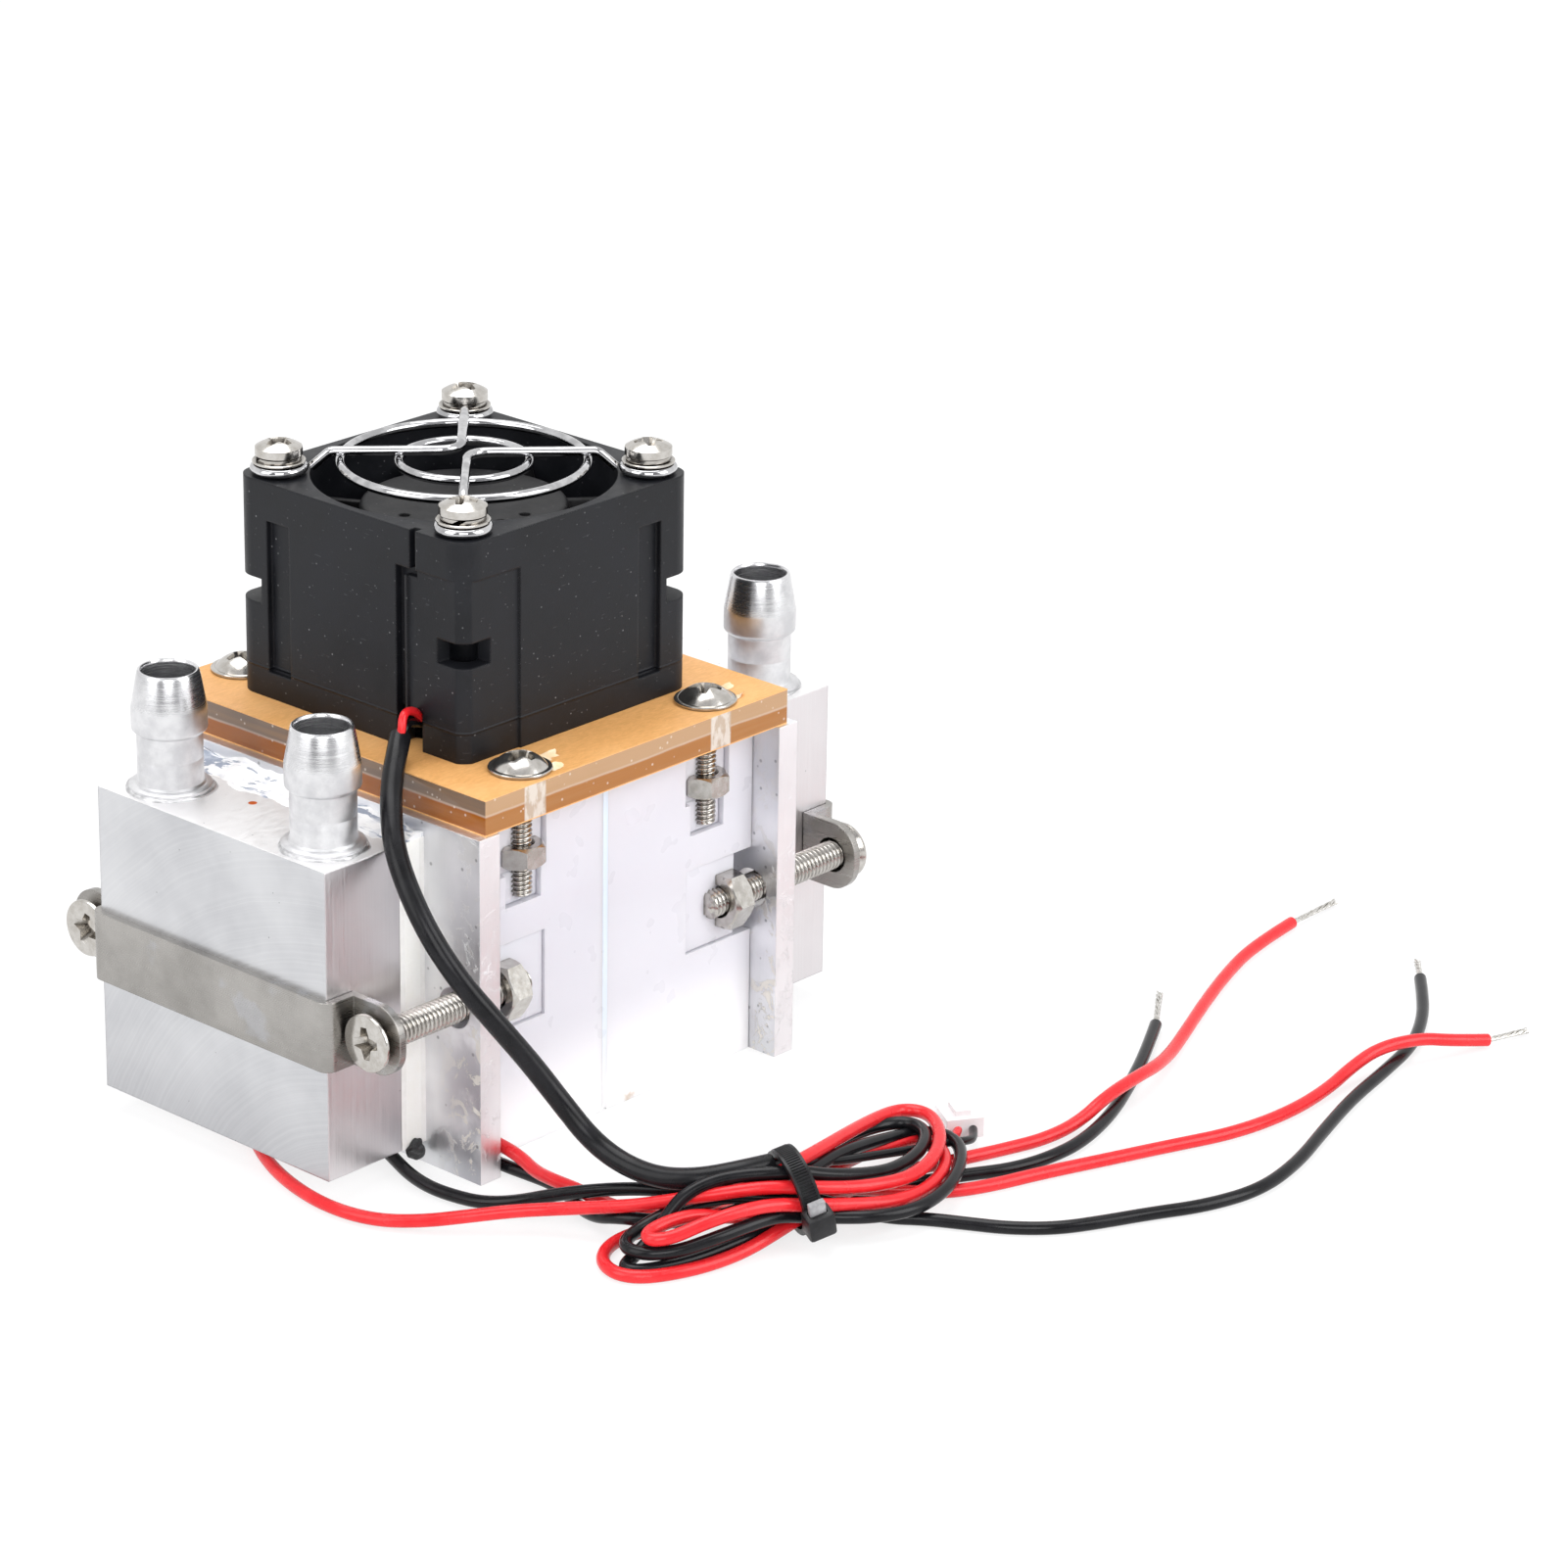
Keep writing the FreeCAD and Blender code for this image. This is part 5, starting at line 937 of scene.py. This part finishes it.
def uneven_strip(name, x_near, x_far, half_length, floor, height_at, columns=9, rows=120):
    """Soft filler pressed along a joint: a strip over x and y whose top follows height_at."""
    rings = []
    for row in range(rows + 1):
        y = -half_length + 2 * half_length * row / rows
        ring = []
        for column in range(columns + 1):
            share = column / columns
            x = x_near + (x_far - x_near) * share
            wander = 0.5 * noise.noise(Vector((y * 0.6, share * 2, x_near)))
            ring.append(mm(x + wander * share, y, floor + height_at(share, x, y)))
        rings.append(ring + [mm(x_far, y, floor - 0.05), mm(x_near, y, floor - 0.05)])
    return from_rings(name, rings, 80, capped=True)


def smear_height(share, x, y):
    lumps = noise.noise(Vector((x * 0.3, y * 0.22, 2.0)))
    lumps += 0.35 * noise.noise(Vector((x * 0.8, y * 0.6, 5.0)))
    return max(-0.03, (1.0 + 0.9 * lumps) * (1 - share) ** 1.2 + 0.22 * lumps - 0.08)


# The pockets round a side's nuts: from x to x, from z to z, and how far out in y they are filled
POCKETS = [(12.65, 21.85, 16.6, 27.8, 24.7), (12.4, 20.2, 36.7, 44.9, 24.3),
           (13.3, 19.3, 32.45, 36.8, 24.3)]


def add_fillers():
    """Sealant on each module's top joint and in the nuts' pockets, the seams' glue and the leads' blob."""
    for side, sign in (("left", -1), ("right", 1)):
        name = "joint_smear_" + side
        strip = uneven_strip(name, 28.1 * sign, 33.4 * sign, 19.9, BLOCK_TOP, smear_height)
        add_piece(name, strip, "smear", "seal_white")
        seam_x, seam_ends = 2.0 * sign, sorted((20.4 * sign, 25.04 * sign))
        seam = rounded_box((seam_x - 0.42, seam_ends[0], 0.3), (seam_x + 0.42, seam_ends[1], 44.7), 0.03)
        add_piece("seam_glue_" + side, seam, "glue", "side_white")
        for face_name, face in (("front", -1), ("back", 1)):
            fills = []
            for near, far, low, high, outer in POCKETS:
                xs, ys = sorted((near * sign, far * sign)), sorted((20.5 * face, outer * face))
                fills.append((rounded_box((xs[0], ys[0], low), (xs[1], ys[1], high), 0.3), Matrix()))
            add_joined("nut_sealant_%s_%s" % (side, face_name), fills, "side", "side_white")
    bm = bmesh.new()
    bmesh.ops.create_icosphere(bm, subdivisions=4, radius=1.0)
    for vert in bm.verts:
        swell = 1 + 0.5 * noise.noise(vert.co * 1.3)
        vert.co = mm(*[middle + half * swell * part for middle, half, part in
                       zip((-29.9, -20.1, 2.6), (1.4, 0.7, 1.3), vert.co)])
    add_piece("lead_sealant", finish_mesh(bm, "lead_sealant", 80), "blob", "lead_black")


def add_paper_scraps(steps=22):
    """Torn scraps of the film that curl up beside two of the plate's screws."""
    bm = bmesh.new()
    for seed, (x, y, size, heading) in enumerate(((-11.3, -24.0, 1.7, 20), (-12.9, -27.3, 1.2, 80),
                                                  (20.9, -23.3, 1.5, 10), (20.2, -26.4, 1.0, -40))):
        middle = bm.verts.new(mm(x, y, PLATE_TOP + 0.05))
        rim = []
        for step in range(steps):
            angle = tau * step / steps
            out = size * (1 + 0.7 * noise.noise(Vector((cos(angle) * 2, sin(angle) * 2, seed * 5.1))))
            curl = 0.04 + 0.5 * max(0.0, cos(angle - radians(heading))) ** 2
            rim.append(bm.verts.new(mm(x + out * cos(angle), y + 0.55 * out * sin(angle),
                                       PLATE_TOP + curl)))
        for start, end in zip(rim, rim[1:] + rim[:1]):
            bm.faces.new((middle, start, end))
    add_piece("paper_scraps", finish_mesh(bm, "paper_scraps", 80), "scrap", "film_paper")


add_screws()
add_nuts()
add_washers()
add_barbs()
add_guard()
add_cable_tie()
add_fillers()
add_paper_scraps()
for colour, line in LOOPS.items():
    add_wires("wire_loop_" + colour, [line], LOOP_ACROSS, colour, "lead_" + colour)


# ---------------- floor, light and camera


def fill_tree(tree, kinds):
    """Empties a node tree and adds a node of each kind named."""
    tree.nodes.clear()
    return [tree.nodes.new("ShaderNode" + kind) for kind in kinds.split()]


def link_all(tree, *pairs):
    for source, socket in pairs:
        tree.links.new(source, socket)


def make_floor(side=6.0):
    """A pale floor that mostly glows white where the camera, glass or shiny metal looks at it."""
    mesh = bpy.data.meshes.new("studio_floor")
    mesh.from_pydata([(-side, -side, 0), (side, -side, 0), (side, side, 0), (-side, side, 0)], [],
                     [(0, 1, 2, 3)])
    floor = put("studio_floor", mesh)
    floor.location.z = -0.00002
    material = bpy.data.materials.new("pale_floor")
    material.use_nodes = True
    output, path, paint, glow, mixed, seen, glossy, share = fill_tree(
        material.node_tree, "OutputMaterial LightPath BsdfDiffuse Emission MixShader Math Math Math")
    paint.inputs["Color"].default_value = (0.86, 0.86, 0.87, 1)
    glow.inputs["Color"].default_value = (1, 1, 1, 1)
    glow.inputs["Strength"].default_value = 1.06
    seen.operation = glossy.operation = "MAXIMUM"
    share.operation = "MULTIPLY"
    share.inputs[1].default_value = 0.72
    link_all(material.node_tree,
             (path.outputs["Is Camera Ray"], seen.inputs[0]),
             (path.outputs["Is Transmission Ray"], seen.inputs[1]),
             (seen.outputs[0], glossy.inputs[0]), (path.outputs["Is Glossy Ray"], glossy.inputs[1]),
             (glossy.outputs[0], share.inputs[0]), (share.outputs[0], mixed.inputs[0]),
             (paint.outputs[0], mixed.inputs[1]), (glow.outputs[0], mixed.inputs[2]),
             (mixed.outputs[0], output.inputs["Surface"]))
    mesh.materials.append(material)


def make_world():
    """White to the camera. Metal sees a bright room with a darker side where the camera stands."""
    world = bpy.data.worlds.new("studio")
    SCENE.world = world
    world.use_nodes = True
    output, path, coordinates, white, soft, room, dark_side, ramp, seen, first, second = fill_tree(
        world.node_tree, "OutputWorld LightPath TexCoord Background Background Background VectorMath"
        " ValToRGB Math MixShader MixShader")
    for node, strength in ((white, 1.0), (soft, 0.62), (room, 1.0)):
        node.inputs["Strength"].default_value = strength
    dark_side.operation = "DOT_PRODUCT"
    dark_side.inputs[1].default_value = (-0.74, -0.66, 0.10)
    stops = ramp.color_ramp.elements
    stops[0].color, stops[1].color = (1, 1, 1, 1), (0.20, 0.20, 0.21, 1)
    stops.new(0.45).color = (0.78, 0.78, 0.79, 1)
    seen.operation = "MAXIMUM"
    link_all(world.node_tree,
             (coordinates.outputs["Generated"], dark_side.inputs[0]),
             (dark_side.outputs["Value"], ramp.inputs[0]), (ramp.outputs[0], room.inputs["Color"]),
             (path.outputs["Is Camera Ray"], seen.inputs[0]),
             (path.outputs["Is Transmission Ray"], seen.inputs[1]),
             (path.outputs["Is Glossy Ray"], first.inputs[0]), (soft.outputs[0], first.inputs[1]),
             (room.outputs[0], first.inputs[2]),
             (seen.outputs[0], second.inputs[0]), (first.outputs[0], second.inputs[1]),
             (white.outputs[0], second.inputs[2]), (second.outputs[0], output.inputs["Surface"]))


def add_lamp(name, place, size, size_y, watts, target=(0.0, -0.02, 0.03)):
    lamp = bpy.data.lights.new(name, "AREA")
    lamp.shape = "RECTANGLE"
    lamp.size, lamp.size_y, lamp.energy = size, size_y, watts
    thing = put(name, lamp)
    thing.location = place
    thing.rotation_euler = (Vector(target) - Vector(place)).to_track_quat("-Z", "Y").to_euler()


def add_camera():
    """The photograph's own viewpoint, found from the edges of the blocks, fan and plate."""
    azimuth, elevation, roll = (radians(angle) for angle in (-48.23, 21.473, 1.005))
    photo_side, focal_length, film_width = 1601, 5590.62, 36.0
    back = Vector((sin(azimuth) * cos(elevation), -cos(azimuth) * cos(elevation),
                   sin(elevation)))
    right = Vector((cos(azimuth), sin(azimuth), 0))
    up = back.cross(right)
    across = right * cos(roll) + up * sin(roll)
    upward = up * cos(roll) - right * sin(roll)
    lens = bpy.data.cameras.new("camera")
    lens.sensor_width = film_width
    lens.lens = focal_length / photo_side * film_width
    lens.clip_start, lens.clip_end = 0.01, 50.0
    camera = put("camera", lens)
    columns = Matrix((across, upward, back)).transposed().to_4x4()
    camera.matrix_world = Matrix.Translation(mm(-451.03, -455.21, 288.66)) @ columns
    SCENE.camera = camera


make_floor()
make_world()
add_lamp("left_softbox", (-0.95, 0.15, 0.55), 0.7, 0.9, 5.0)
add_lamp("right_softbox", (0.35, -1.00, 0.60), 0.7, 0.9, 7.5)
add_lamp("front_fill", (-0.70, -0.75, 0.50), 0.6, 0.6, 4.5)
add_lamp("top_softbox", (0.10, 0.20, 1.15), 0.9, 0.9, 9.0)
add_camera()
